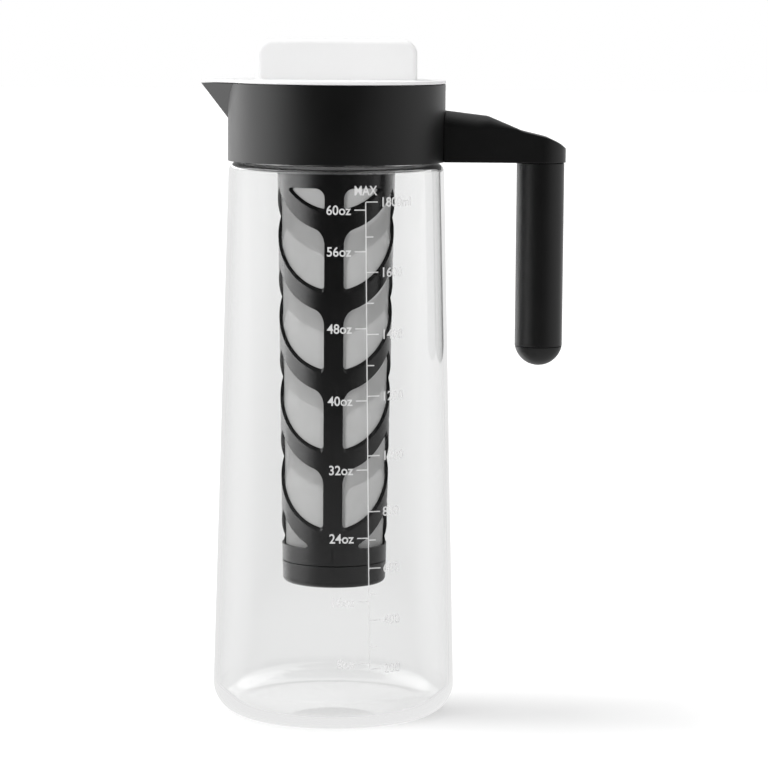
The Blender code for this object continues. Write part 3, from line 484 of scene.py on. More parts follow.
GLASS_WALL = 0.0022
GLASS_FLOOR = 0.0040
GLASS_HEEL = 0.0130
SHOULDER_ROUND = 0.0045
NECK_HEIGHT = 0.0167
NECK_LIP_DEPTH = 0.0012
NECK_LIP_HEIGHT = 0.0044
NECK_LIP_ROUND = 0.0010
WALL_RINGS = 24

COLLAR_FOOT, COLLAR_TOP, COLLAR_RADIUS = span("collar_band")
COLLAR_WALL = 0.0030
COLLAR_FOOT_LIP = 0.0013
COLLAR_LIP_CLEARANCE = 0.0004
COLLAR_LEDGE = 0.0020
COLLAR_EDGE = 0.0004
COLLAR_OVERHANG = 0.0003
CLAMP_RING_WALL = 0.0024
CLAMP_SPLIT = 0.0080
_, GLASS_RIM, GLASS_FOOT_RADIUS = span("glass_carafe")
SHOULDER_TOP = GLASS_RIM - NECK_HEIGHT
SHOULDER_HEIGHT = SHOULDER_TOP - SHOULDER_ROUND
SHOULDER_RADIUS = COLLAR_RADIUS - COLLAR_OVERHANG
NECK_RADIUS = COLLAR_RADIUS - COLLAR_WALL - CLAMP_RING_WALL - 2 * FIT
COLLAR_INNER = COLLAR_RADIUS - COLLAR_WALL
SHOULDER_CENTRE = SHOULDER_RADIUS - SHOULDER_ROUND
LEDGE_FOOT = span("neck_gasket")[1] + FIT
LEDGE_TOP = LEDGE_FOOT + COLLAR_LEDGE
LEDGE_INNER = bore("neck_gasket")


def wall_points(start, end):
    """Points along the straight wall, close together so that its shading stays even."""
    first, last = Vector(start), Vector(end)
    return [tuple(first.lerp(last, i / WALL_RINGS)) for i in range(1, WALL_RINGS)]


def carafe_outline():
    """One smooth outline, from the inner floor over the rim and down to the foot."""
    heel_centre = GLASS_FOOT_RADIUS - GLASS_HEEL
    inner_heel = GLASS_HEEL - GLASS_WALL
    lip = NECK_RADIUS + NECK_LIP_DEPTH - NECK_LIP_ROUND
    rim_centre = GLASS_RIM - NECK_LIP_ROUND
    lip_foot = GLASS_RIM - NECK_LIP_HEIGHT
    fillet = SHOULDER_CENTRE - NECK_RADIUS
    neck_centre = (SHOULDER_CENTRE, SHOULDER_TOP + fillet)
    shoulder = (SHOULDER_CENTRE, SHOULDER_HEIGHT)
    inner_neck = NECK_RADIUS - GLASS_WALL + NECK_LIP_ROUND
    floor = arc((heel_centre, GLASS_FLOOR + inner_heel), inner_heel, 270, 360)
    inner_shoulder = arc(shoulder, SHOULDER_ROUND - GLASS_WALL, 0, 90)
    outer_shoulder = arc(shoulder, SHOULDER_ROUND, 90, 0)
    heel = arc((heel_centre, GLASS_HEEL), GLASS_HEEL, 0, -90)
    return joined(
        [(0, GLASS_FLOOR)],
        floor,
        wall_points(floor[-1], inner_shoulder[0]),
        inner_shoulder,
        arc(neck_centre, fillet + GLASS_WALL, 270, 180),
        arc((inner_neck, rim_centre), NECK_LIP_ROUND, 180, 90),
        arc((lip, rim_centre), NECK_LIP_ROUND, 90, 0),
        arc((lip, lip_foot + NECK_LIP_ROUND), NECK_LIP_ROUND, 0, -90),
        [(NECK_RADIUS, lip_foot)],
        arc(neck_centre, fillet, 180, 270),
        outer_shoulder,
        wall_points(outer_shoulder[-1], heel[0]),
        heel,
        [(0, 0)],
    )


def glass_radius(height):
    """Outer radius of the glass on its straight wall."""
    return reading(height, GLASS_HEEL, SHOULDER_HEIGHT, GLASS_FOOT_RADIUS, SHOULDER_RADIUS)


dress(turned("carafe_glass", carafe_outline()), CLEAR_GLASS, "carafe", "glass_carafe")
dress(turned("neck_ring_seal", ring("neck_gasket")), GREY_SILICONE, "carafe", "neck_gasket")


def clamp_ring():
    """Split ring under the glass lip."""
    piece = turned("neck_split_ring", ring("neck_clamp_ring"))
    foot, top, outer = span("neck_clamp_ring")
    half = CLAMP_SPLIT / 2
    cut_box(piece, (0, -half, foot - OVERRUN), (outer + OVERRUN, half, top + OVERRUN))
    dress(piece, BLACK_PLASTIC, "carafe", "neck_clamp_ring")


clamp_ring()

SPOUT_WALL = 0.0015
SPOUT_DEPTH = 0.0157
SPOUT_HALF_ANGLE = math.radians(20)
SPOUT_REACH = -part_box("collar_band")[0].x - COLLAR_RADIUS

SCREW_RADIUS = 0.0016
SCREW_HEAD_RADIUS = 0.0028
SCREW_HEAD_HEIGHT = 0.0016
SCREW_LENGTH = 0.0150
SCREW_SEAT = 0.0018
SCREW_EDGE = 0.0004
SCREW_NAMES = ("lower", "upper")
SCREW_HEIGHTS = [sum(corner.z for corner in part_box("arm_screw_" + name)) / 2 for name in SCREW_NAMES]
# The cross recess, as shares of the head's radius and height
RECESS_REACH_SHARE = 0.55
RECESS_HALF_WIDTH_SHARE = 0.11
RECESS_FLOOR_SHARE = 0.45


def spout_block(name, inset, foot, top, back):
    """The spout's wedge, its two facets moved inwards by the inset."""
    tip = Vector((-COLLAR_RADIUS - SPOUT_REACH, 0, COLLAR_TOP))
    root = Vector((-COLLAR_RADIUS, 0, COLLAR_TOP - SPOUT_DEPTH))
    planes = []
    for side in (-1, 1):
        corner = Vector((
            -COLLAR_RADIUS * math.cos(SPOUT_HALF_ANGLE),
            side * COLLAR_RADIUS * math.sin(SPOUT_HALF_ANGLE),
            COLLAR_TOP,
        ))
        normal = (corner - tip).cross(root - tip).normalized() * side
        planes.append((tip - normal * inset, normal))
    low = (-COLLAR_RADIUS - SPOUT_REACH - OVERRUN, -COLLAR_RADIUS, foot)
    return new_object(name, trimmed_block(low, (back, COLLAR_RADIUS, top), planes))


def lay_along_x(obj, x, height):
    """Lays a piece that was turned about Z along X instead."""
    obj.location = (x, 0, height)
    obj.rotation_euler = (0, math.radians(90), 0)


def screw_hole(height):
    """Cutter for a screw's shank and head, from the inside of the collar."""
    shank = SCREW_RADIUS + FIT
    mouth = SCREW_HEAD_RADIUS + FIT
    outline = stepped((0, SCREW_LENGTH + FIT), shank, 0, mouth, -OVERRUN, 0)
    hole = turned("screw_hole", outline, SMALL_TURN_STEPS)
    lay_along_x(hole, COLLAR_RADIUS - SCREW_SEAT, height)
    return hole


def collar():
    """Collar with its spout, open inside but for the ledge that rests on the glass rim."""
    piece = turned("collar_shell", rod_outline(COLLAR_RADIUS, COLLAR_FOOT, COLLAR_TOP))
    back = -COLLAR_RADIUS * math.cos(SPOUT_HALF_ANGLE)
    wedge = spout_block("wedge", 0, COLLAR_TOP - SPOUT_DEPTH - OVERRUN, COLLAR_TOP, back)
    combine(piece, wedge, "UNION")
    lip_top = COLLAR_FOOT + COLLAR_FOOT_LIP
    lip_inner = SHOULDER_CENTRE + COLLAR_LIP_CLEARANCE
    hollow = stepped(
        (0, COLLAR_TOP + OVERRUN), COLLAR_INNER, LEDGE_TOP, LEDGE_INNER, LEDGE_FOOT,
        COLLAR_INNER, lip_top, lip_inner, COLLAR_FOOT - OVERRUN, 0,
    )
    combine(piece, turned("hollow", hollow))
    trough_back = COLLAR_WALL - COLLAR_INNER
    trough = spout_block("trough", SPOUT_WALL, LEDGE_TOP + FIT, COLLAR_TOP + OVERRUN, trough_back)
    combine(piece, trough)
    for height in SCREW_HEIGHTS:
        combine(piece, screw_hole(height))
    ease_edges(piece, COLLAR_EDGE)
    dress(piece, BLACK_PLASTIC, "carafe", "collar_band")


collar()


def arm_screw(name, height):
    """Pan-head screw with a cross recess."""
    outline = eased([
        (0, SCREW_LENGTH - FIT),
        (SCREW_RADIUS / 2, SCREW_LENGTH - FIT),
        (SCREW_RADIUS, SCREW_LENGTH - FIT - SCREW_RADIUS),
        (SCREW_RADIUS, 0),
        (SCREW_HEAD_RADIUS, 0),
        (SCREW_HEAD_RADIUS, -SCREW_HEAD_HEIGHT),
        (0, -SCREW_HEAD_HEIGHT),
    ], SCREW_EDGE)
    screw = turned("cross_screw_" + name, outline, SMALL_TURN_STEPS)
    reach = SCREW_HEAD_RADIUS * RECESS_REACH_SHARE
    slot = SCREW_HEAD_RADIUS * RECESS_HALF_WIDTH_SHARE
    floor = -SCREW_HEAD_HEIGHT * RECESS_FLOOR_SHARE
    for wide, narrow in ((reach, slot), (slot, reach)):
        cut_box(screw, (-wide, -narrow, -SCREW_HEAD_HEIGHT - OVERRUN), (wide, narrow, floor))
    lay_along_x(screw, COLLAR_RADIUS - SCREW_SEAT - FIT, height)
    dress(screw, STEEL, "carafe", "arm_screw_" + name)


for screw_name, screw_height in zip(SCREW_NAMES, SCREW_HEIGHTS):
    arm_screw(screw_name, screw_height)

# Handle

GRIP_FOOT, GRIP_TOP, GRIP_RADIUS = span("grip_tube")
GRIP_AXIS = (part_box("grip_tube")[0].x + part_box("grip_tube")[1].x) / 2
GRIP_WALL = 0.0025
GRIP_SPIGOT = GRIP_RADIUS - GRIP_WALL - FIT
GRIP_WEB_RISE = 0.0140
GRIP_WEB = 0.0030
PLUG_RECESS = 0.0021
PLUG_SPIGOT_WALL = 0.00275
DOME_STEPS = 24
HANDLE_REACH = GRIP_AXIS - COLLAR_RADIUS
ARM_WIDTH = 0.0200
ARM_ROOT_HEIGHT = 0.0230
ARM_TOP_ROUND = 0.0070
ARM_ROUND_STEPS = 8
ELBOW_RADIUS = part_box("handle_arm")[1].x - GRIP_AXIS
SPIGOT_LENGTH = COLLAR_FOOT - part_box("handle_arm")[0].z
BOLT_HOLE = 0.0028
# Share of the reach from the collar, and share of the root height there
ARM_TOP_SHARES = ((0.0, 1.0), (0.449, 0.896), (0.810, 0.609))
ELBOW_TOP_SHARES = ((0.237, 0.496), (0.746, 0.378), (1.0, 0.270))
# Share of the reach, and share of the top rounding left there
ARM_ROUND_SHARES = ((0.0, 1.0), (0.32, 1.0), (0.74, 0.10), (1.0, 0.06))
ARM_STATIONS = 56
ELBOW_STATIONS = 28
ELBOW_SWEEP = math.radians(89)
# Share of the reach over which the bends of the top are softened, and the readings to each side
ARM_BLEND = 0.020
ARM_BLEND_STEPS = 4
# The easing under the arm takes at most this share of its half width
ARM_EDGE_SHARE = 0.4


def share_at(table, position):
    """Reading of a table of (position, value) pairs."""
    for (x0, y0), (x1, y1) in zip(table, table[1:]):
        if position <= x1:
            return reading(position, x0, x1, y0, y1)
    return table[-1][1]


def arm_top(x):
    """Height of the arm's top over its flat underside, its bends slightly softened."""
    table = list(ARM_TOP_SHARES)
    table += [(1 + ELBOW_RADIUS / HANDLE_REACH * share, height) for share, height in ELBOW_TOP_SHARES]
    along = (x - COLLAR_RADIUS) / HANDLE_REACH
    spread = min(ARM_BLEND, max(0, table[-1][0] - along), max(0, along))
    readings = []
    for step in range(-ARM_BLEND_STEPS, ARM_BLEND_STEPS + 1):
        readings.append(share_at(table, max(0, along + spread * step / ARM_BLEND_STEPS)))
    return ARM_ROOT_HEIGHT * sum(readings) / len(readings)


def arm_section(x, half_width, rounding):
    """The arm's cross-section, from the middle of its top round to its underside."""
    top = COLLAR_FOOT + arm_top(x)
    rounding = min(rounding, half_width)
    corner = arc((half_width - rounding, top - rounding), rounding, 90, 0, ARM_ROUND_STEPS)
    foot = min(EDGE, half_width * ARM_EDGE_SHARE)
    half = corner + [(half_width, COLLAR_FOOT + foot), (half_width - foot, COLLAR_FOOT)]
    mirrored = [(-y, z) for y, z in reversed(half)]
    return [(x, y, z) for y, z in half + mirrored]


def turned_at_grip(name, outline, steps=TURN_STEPS):
    """An outline turned about the grip's axis."""
    obj = turned(name, outline, steps)
    obj.location.x = GRIP_AXIS
    return obj


def arm():
    """Arm from the collar to the elbow over the grip, with the spigot that holds the grip."""
    sections = [arm_section(COLLAR_RADIUS - COLLAR_WALL, ARM_WIDTH / 2, ARM_TOP_ROUND)]
    for i in range(ARM_STATIONS + 1):
        share = i / ARM_STATIONS
        half_width = ARM_WIDTH / 2 + (ELBOW_RADIUS - ARM_WIDTH / 2) * share
        rounding = ARM_TOP_ROUND * share_at(ARM_ROUND_SHARES, share)
        sections.append(arm_section(COLLAR_RADIUS + HANDLE_REACH * share, half_width, rounding))
    for i in range(1, ELBOW_STATIONS + 1):
        angle = ELBOW_SWEEP * i / ELBOW_STATIONS
        rounding = ARM_TOP_ROUND * ARM_ROUND_SHARES[-1][1]
        x = GRIP_AXIS + ELBOW_RADIUS * math.sin(angle)
        sections.append(arm_section(x, ELBOW_RADIUS * math.cos(angle), rounding))
    piece = new_object("arm_shell", lofted(sections))
    spigot = eased(rod_outline(GRIP_SPIGOT, COLLAR_FOOT - SPIGOT_LENGTH, COLLAR_FOOT + GRIP_WALL))
    combine(piece, turned_at_grip("spigot", spigot, SMALL_TURN_STEPS), "UNION")
    saddle = rod_outline(COLLAR_RADIUS + FIT, COLLAR_FOOT - OVERRUN, COLLAR_TOP + OVERRUN)
    combine(piece, turned("saddle", saddle))
    bolt_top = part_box("grip_bolt")[1].z
    hole = rod_outline(BOLT_HOLE, COLLAR_FOOT - SPIGOT_LENGTH - OVERRUN, bolt_top + FIT)
    combine(piece, turned_at_grip("bolt_hole", hole, SMALL_TURN_STEPS))
    for height in SCREW_HEIGHTS:
        combine(piece, screw_hole(height))
    dress(piece, BLACK_PLASTIC, "carafe", "handle_arm")


arm()


def grip():
    """Tube with an inner web for the bolt."""
    inner = GRIP_RADIUS - GRIP_WALL
    web = GRIP_FOOT + GRIP_WEB_RISE
    outline = eased(stepped(
        (inner, GRIP_TOP), GRIP_RADIUS, GRIP_FOOT, inner, web, BOLT_HOLE, web + GRIP_WEB, inner
    ))
    dress(turned_at_grip("grip_shell", outline), BLACK_PLASTIC, "carafe", "grip_tube")


def grip_plug():
    """Domed plug that snaps into the grip's foot."""
    foot, top, radius = span("grip_end_plug")
    seam = GRIP_FOOT - FIT
    depth = seam - foot
    sphere = (radius ** 2 + depth ** 2) / (2 * depth)
    start = -math.degrees(math.acos(radius / sphere))
    hollow = GRIP_SPIGOT - PLUG_SPIGOT_WALL
    outline = joined(
        stepped((0, seam - PLUG_RECESS), hollow, top, GRIP_SPIGOT, seam),
        arc((0, foot + sphere), sphere, start, -90, DOME_STEPS)[:-1],
        [(0, foot)],
    )
    dress(turned_at_grip("grip_dome", outline), BLACK_PLASTIC, "carafe", "grip_end_plug")


grip()
grip_plug()

# Lid

LID_FOOT, TAB_TOP, _ = span("lid_plate")
PLATE_THICKNESS = 0.0015
LID_TOP = LID_FOOT + PLATE_THICKNESS
TAB_LENGTH = 0.0720
TAB_THICKNESS = 0.0140
TAB_CORNER = 0.0070
TAB_WALL = 0.0020
TAB_CORNER_STEPS = 12
TAB_EDGE_ROUND = 0.0025
TAB_EDGE_STEPS = 6
TAB_HOLLOW_ROUND = 0.0012
TAB_HOLLOW_STEPS = 4
POUR_GROOVE_WIDTH = 0.0030
POUR_GROOVE_DEPTH = 0.0007


def tab_outline(length, foot, top, corner):
    """Upright outline of the tab, its two top corners rounded."""
    half = length / 2
    right = arc((half - corner, top - corner), corner, 0, 90, TAB_CORNER_STEPS)
    left = arc((corner - half, top - corner), corner, 90, 180, TAB_CORNER_STEPS)
    return [(half, foot)] + right + left + [(-half, foot)]


def rounded_slab(name, outline, half_depth, foot, rounding, steps):
    """An upright slab whose outer edges are rounded, but for those at its foot."""
    bm = lofted([[(x, y, z) for x, z in outline] for y in (-half_depth, half_depth)])
    edges = []
    for edge in bm.edges:
        level = abs(edge.verts[0].co.y - edge.verts[1].co.y) < MERGE
        at_foot = all(vert.co.z < foot + MERGE for vert in edge.verts)
        if level and not at_foot:
            edges.append(edge)
    bmesh.ops.bevel(
        bm, geom=edges, offset=rounding, offset_type="OFFSET", segments=steps, profile=0.5, affect="EDGES"
    )
    return new_object(name, bm)


def lid():
    """Plate over the collar and the spout, with its hollow tab."""
    limit = 180 - math.degrees(SPOUT_HALF_ANGLE)
    rim = arc((0, 0), COLLAR_RADIUS, -limit, limit, TURN_STEPS)
    point = -COLLAR_RADIUS - SPOUT_REACH
    outline = rim + [(point, 0)]
    piece = new_object("lid_cover", lofted([[(x, y, z) for x, y in outline] for z in (LID_FOOT, LID_TOP)]))
    ease_edges(piece)
    foot = LID_FOOT + PLATE_THICKNESS / 2
    outer = tab_outline(TAB_LENGTH, foot, TAB_TOP, TAB_CORNER)
    tab = rounded_slab("tab", outer, TAB_THICKNESS / 2, foot, TAB_EDGE_ROUND, TAB_EDGE_STEPS)
    combine(piece, tab, "UNION")
    foot = LID_FOOT - OVERRUN
    inner = tab_outline(TAB_LENGTH - 2 * TAB_WALL, foot, TAB_TOP - TAB_WALL, TAB_CORNER - TAB_WALL)
    half_depth = TAB_THICKNESS / 2 - TAB_WALL
    hollow = rounded_slab("hollow", inner, half_depth, foot, TAB_HOLLOW_ROUND, TAB_HOLLOW_STEPS)
    combine(piece, hollow)
    half = POUR_GROOVE_WIDTH / 2
    cut_box(piece, (point - OVERRUN, -half, foot), (-COLLAR_RADIUS, half, LID_FOOT + POUR_GROOVE_DEPTH))
    dress(piece, FROSTED_LID, "lid", "lid_plate")


lid()

SKIRT_CLEARANCE = 0.0014
SKIRT_FOOT_GAP = 0.0006
SKIRT_WALL = 0.0022
SKIRT_DECK = 0.0020
GASKET_DEPTH = 0.0012
GASKET_FIN_DROP = 0.0003
SOCKET_WALL = 0.0022
SOCKET_SHOULDER = 0.0020
POUR_SLOTS = 7
POUR_SLOT_SPACING = math.radians(6)
POUR_SLOT_WIDTH = 0.0022
POUR_SLOT_HEIGHT = 0.0070
POUR_SLOT_RISE = 0.0012

SKIRT_FOOT = LEDGE_TOP + SKIRT_FOOT_GAP
SKIRT_TOP = LID_FOOT - FIT
SKIRT_RADIUS = COLLAR_INNER - SKIRT_CLEARANCE
DECK_FOOT = SKIRT_TOP - SKIRT_DECK
GASKET_FOOT, GASKET_TOP, GASKET_RADIUS = span("lid_gasket")
GROOVE_RADIUS = SKIRT_RADIUS - GASKET_DEPTH
SOCKET_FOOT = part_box("lid_skirt")[0].z
_, SEAL_TOP, SPIGOT_RADIUS = span("core_seal")
SOCKET_BORE = SPIGOT_RADIUS + FIT
SOCKET_RADIUS = SOCKET_BORE + SOCKET_WALL


def skirt():
    """Skirt that fits the collar, with the core's socket under its deck."""
    outline = eased(stepped(
        (0, SKIRT_TOP), SKIRT_RADIUS, GASKET_TOP + FIT, GROOVE_RADIUS, GASKET_FOOT - FIT, SKIRT_RADIUS,
        SKIRT_FOOT, SKIRT_RADIUS - SKIRT_WALL, DECK_FOOT, SOCKET_RADIUS, SOCKET_FOOT, SOCKET_BORE,
        SEAL_TOP + FIT, bore("core_seal") - FIT, SEAL_TOP + FIT + SOCKET_SHOULDER, SOCKET_BORE, DECK_FOOT, 0,
    ), THIN_EDGE)
    piece = turned("lid_socket", outline)
    half = POUR_SLOT_WIDTH / 2
    slot_foot = SKIRT_FOOT + POUR_SLOT_RISE
    low = (SKIRT_RADIUS - 2 * SKIRT_WALL, -half, slot_foot)
    high = (SKIRT_RADIUS + SKIRT_WALL, half, slot_foot + POUR_SLOT_HEIGHT)
    slots = bmesh.new()
    for i in range(POUR_SLOTS):
        single = bmesh.new()
        block(single, low, high)
        angle = math.pi + POUR_SLOT_SPACING * (i - (POUR_SLOTS - 1) / 2)
        bmesh.ops.rotate(single, verts=single.verts, cent=(0, 0, 0), matrix=Matrix.Rotation(angle, 3, "Z"))
        add_to(slots, single)
    combine(piece, new_object("pour_slots", slots))
    dress(piece, FROSTED_LID, "lid", "lid_skirt")


def gasket():
    """Seal with two rounded fins."""
    inner = GROOVE_RADIUS + FIT
    outer = SKIRT_RADIUS + FIT
    waist = (GASKET_TOP + GASKET_FOOT) / 2
    outline = eased([
        (outer, GASKET_TOP),
        (GASKET_RADIUS, GASKET_TOP - GASKET_FIN_DROP),
        (outer, waist),
        (GASKET_RADIUS, GASKET_FOOT + GASKET_FIN_DROP),
        (outer, GASKET_FOOT),
        (inner, GASKET_FOOT),
        (inner, GASKET_TOP),
    ], FINE_EDGE)
    dress(turned("lid_lip_seal", outline), GREY_SILICONE, "lid", "lid_gasket")


skirt()
gasket()

# Core

CORE_FLANGE = 0.0020
SPIGOT_WALL = 0.0018
CAGE_TOP_RADIUS = 0.02674
CAGE_WALL = 0.0015
CAGE_TOP_BAND = 0.0153
CAGE_FOOT_BAND = 0.0076
RIB_WIDTH = 0.0086
VEIN_THICKNESS = 0.0085
VEIN_COUNT = 5
VEIN_SLOPE = math.radians(45)
VEIN_PITCH_SHARE = 0.2213
FIRST_VEIN_SHARE = 0.539
# The back's veins lie lower than the front's by this share of the pitch
BACK_DROP_SHARE = 0.40
CORE_TURN = math.radians(-1.9)
WINDOW_CORNER = 0.0044
WINDOW_LOW_CORNER = 0.0014
WINDOW_END_ROUND = 0.0018
CORNER_STEPS = 8
LOCK_MARK_WIDTH = 0.0009
LOCK_MARK_DEPTH = 0.0010
LOCK_MARK_OVER_BAND = 0.0006
LOCK_MARK_ON_CAP = 0.0020
SLEEVE_THICKNESS = 0.0005
CAP_SPIGOT_CLEARANCE = 0.0006
CAP_SPIGOT_WALL = 0.0022
CAP_FLOOR = 0.0026
CAP_EDGE_ROUND = 0.0022
CAP_TAPER = 0.0003
CAP_EDGE = 0.00025

CAGE_FOOT, SPIGOT_TOP, _ = span("core_cage")
CAGE_FOOT_RADIUS = span("core_base_cap")[2]
SLEEVE_FOOT, SLEEVE_TOP, _ = span("mesh_sleeve")
SPIGOT_BORE = SPIGOT_RADIUS - SPIGOT_WALL
FLANGE_TOP = SOCKET_FOOT - FIT
FLANGE_FOOT = FLANGE_TOP - CORE_FLANGE
WINDOW_TOP = FLANGE_FOOT - CAGE_TOP_BAND
WINDOW_FOOT = CAGE_FOOT + CAGE_FOOT_BAND
VEIN_PITCH = VEIN_PITCH_SHARE * (WINDOW_TOP - WINDOW_FOOT)
FIRST_VEIN = WINDOW_TOP - FIRST_VEIN_SHARE * VEIN_PITCH


def cage_radius(height):
    """Outer radius of the cage's taper at a height."""
    return reading(height, CAGE_FOOT, FLANGE_FOOT, CAGE_FOOT_RADIUS, CAGE_TOP_RADIUS)


def cage_bore(height):
    """Inner radius of the cage at a height."""
    return cage_radius(height) - CAGE_WALL


def round_between(bm, first, second, radius):
    """Rounds the edge where the faces with these two normals meet."""
    turn = Vector(first).angle(Vector(second))
    edges = []
    for edge in bm.edges:
        normals = [face.normal for face in edge.link_faces]
        if all(
            any(normal.angle(Vector(wanted)) < SAME_ANGLE for normal in normals)
            for wanted in (first, second)
        ):
            edges.append(edge)
    bmesh.ops.bevel(
        bm, geom=edges, offset=radius * math.tan(turn / 2), offset_type="OFFSET",
        segments=CORNER_STEPS, profile=0.5, affect="EDGES",
    )


def vein_foot(index, at_back):
    """Height of a vein's lower edge where it meets the front rib, or the back rib."""
    drop = BACK_DROP_SHARE if at_back else 0
    return FIRST_VEIN - VEIN_PITCH * (index + drop)


def window_block(index, at_back):
    """One window beside the front rib, between two veins and the other half's crossing vein."""
    up = Vector((0, -math.sin(VEIN_SLOPE), math.cos(VEIN_SLOPE)))
    away = Vector((0, math.sin(VEIN_SLOPE), math.cos(VEIN_SLOPE)))
    above = vein_foot(index - 1, at_back)
    below = vein_foot(index, at_back) + VEIN_THICKNESS
    crossing = vein_foot(index, False) if at_back else vein_foot(index - 1, True)
    planes = [
        ((0, -cage_radius(above), above), up),
        ((0, -cage_radius(below), below), -up),
        ((0, cage_radius(crossing), crossing), away),
    ]
    reach = CAGE_TOP_RADIUS + OVERRUN
    bm = trimmed_block((-reach, -reach, WINDOW_FOOT), (-RIB_WIDTH / 2, reach, WINDOW_TOP), planes)
    rib = (1, 0, 0)
    top = (0, 0, 1)
    foot = (0, 0, -1)
    if above > WINDOW_FOOT + WINDOW_CORNER:
        round_between(bm, rib, up, WINDOW_CORNER)
    round_between(bm, rib, top, WINDOW_CORNER)
    round_between(bm, rib, -up, WINDOW_LOW_CORNER)
    round_between(bm, top, -up, WINDOW_END_ROUND)
    round_between(bm, foot, up, WINDOW_END_ROUND)
    round_between(bm, foot, away, WINDOW_END_ROUND)
    return bm


def core_cutter(name, bm):
    """Cutter that stands turned as the core does."""
    cutter = new_object(name, bm)
    cutter.rotation_euler.z = CORE_TURN
    return cutter


def windows(at_back):
    """The windows of the front or the back, on both sides of its rib."""
    bm = bmesh.new()
    for index in range(VEIN_COUNT + (0 if at_back else 1)):
        for side in (1, -1):
            single = window_block(index, at_back)
            bmesh.ops.scale(single, vec=(side, -1 if at_back else 1, 1), verts=single.verts)
            add_to(bm, single)
    return core_cutter("windows", bm)


def lock_mark(radius, low, high):
    """Cutter for the short line that shows how the base cap lines up."""
    bm = bmesh.new()
    half = LOCK_MARK_WIDTH / 2
    block(bm, (-half, -radius - OVERRUN, low), (half, -radius + LOCK_MARK_DEPTH, high))
    return core_cutter("lock_mark", bm)


def cage():
    """Tapered shell with its windows, and the spigot that goes into the lid's socket."""
    outline = eased([
        (SPIGOT_RADIUS, SPIGOT_TOP),
        (SPIGOT_RADIUS, FLANGE_TOP),
        (SOCKET_RADIUS, FLANGE_TOP),
        (SOCKET_RADIUS, FLANGE_FOOT),
        (CAGE_TOP_RADIUS, FLANGE_FOOT),
        (CAGE_FOOT_RADIUS, CAGE_FOOT),
        (cage_bore(CAGE_FOOT), CAGE_FOOT),
        (cage_bore(SLEEVE_TOP), SLEEVE_TOP),
        (SPIGOT_BORE, SLEEVE_TOP),
        (SPIGOT_BORE, SPIGOT_TOP),
    ], THIN_EDGE)
    piece = turned("cage_shell", outline)
    combine(piece, windows(at_back=False))
    combine(piece, windows(at_back=True))
    combine(piece, lock_mark(CAGE_FOOT_RADIUS, CAGE_FOOT - OVERRUN, WINDOW_FOOT + LOCK_MARK_OVER_BAND))
    ease_edges(piece, THIN_EDGE)
    dress(piece, CORE_PLASTIC, "core", "core_cage")


cage()


def sleeve():
    """Filter sleeve just inside the cage."""
    top = cage_bore(SLEEVE_TOP) - FIT
    foot = cage_bore(SLEEVE_FOOT) - FIT
    outline = [
        (top, SLEEVE_TOP),
        (foot, SLEEVE_FOOT),
        (foot - SLEEVE_THICKNESS, SLEEVE_FOOT),
        (top - SLEEVE_THICKNESS, SLEEVE_TOP),
    ]
    dress(turned("woven_sleeve", outline), FILTER_MESH, "core", "mesh_sleeve")


def base_cap():
    """Cup that closes the core, with a spigot in the cage and a seal round it."""
    foot, spigot_top, radius = span("core_base_cap")
    cap_top = CAGE_FOOT - FIT
    seal_foot, seal_top, _ = span("cap_seal")
    spigot = cage_bore(CAGE_FOOT) - CAP_SPIGOT_CLEARANCE
    edge = CAP_EDGE_ROUND
    outer = radius - CAP_TAPER
    upper = stepped(
        (0, foot + CAP_FLOOR), spigot - CAP_SPIGOT_WALL, spigot_top, spigot, seal_top + FIT,
        bore("cap_seal") - FIT, seal_foot - FIT, spigot, cap_top, radius,
    )
    outline = joined(
        eased(upper + [(outer, foot + edge), (0, foot + edge)], CAP_EDGE)[:-2],
        arc((outer - edge, foot + edge), edge, 0, -90),
        [(0, foot)],
    )
    piece = turned("cap_shell", outline)
    combine(piece, lock_mark(radius, cap_top - LOCK_MARK_ON_CAP, cap_top + OVERRUN))
    dress(piece, CORE_PLASTIC, "core_cap", "core_base_cap")


sleeve()
base_cap()
for name, node, body, material in (
    ("socket_seal", "core_seal", "core_seal_ring", GREY_SILICONE),
    ("sleeve_top_rim", "mesh_top_rim", "core", CORE_PLASTIC),
    ("sleeve_foot_rim", "mesh_foot_rim", "core", CORE_PLASTIC),
    ("cap_ring_seal", "cap_seal", "cap_seal_ring", GREY_SILICONE),
):
    dress(turned(name, ring(node, FINE_EDGE)), material, body, node)

for node in ("grip_washer", "grip_bolt"):
    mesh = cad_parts[node].data
    mesh.materials.clear()
    mesh.materials.append(STEEL)

# Volume scale printed on the glass

PRINT_THICKNESS = 0.00003
SCALE_AZIMUTH_TOP = math.radians(15.2)
SCALE_AZIMUTH_FOOT = math.radians(17.0)
SCALE_FOOT = 0.0290
SCALE_TOP = 0.2358
LINE_WIDTH = 0.0005
LINE_STEPS = 40
# Amounts, and the heights of their ticks
OUNCES = (
    (8, 0.0317), (16, 0.0593), (24, 0.0876), (32, 0.1179), (40, 0.1485), (48, 0.1803), (56, 0.2141),
    (60, 0.2323),
)
MILLILITRES = (
    (200, 0.0290), (300, 0.0392), (400, 0.0509), (500, 0.0625), (600, 0.0741), (700, 0.0867), (800, 0.0993),
    (1000, 0.1241), (1200, 0.1505), (1300, 0.1640), (1400, 0.1777), (1500, 0.1914), (1600, 0.2050),
    (1700, 0.2205), (1800, 0.2358),
)
NUMBERED = range(200, 2000, 200)
OUNCE_TICK = 0.0051
LONG_TICK = 0.0056
SHORT_TICK = 0.0034
OUNCE_GAP = 0.0016
MILLILITRE_GAP = 0.0012
LIMIT_RISE = 0.0030
LETTER_HEIGHT = 0.0041
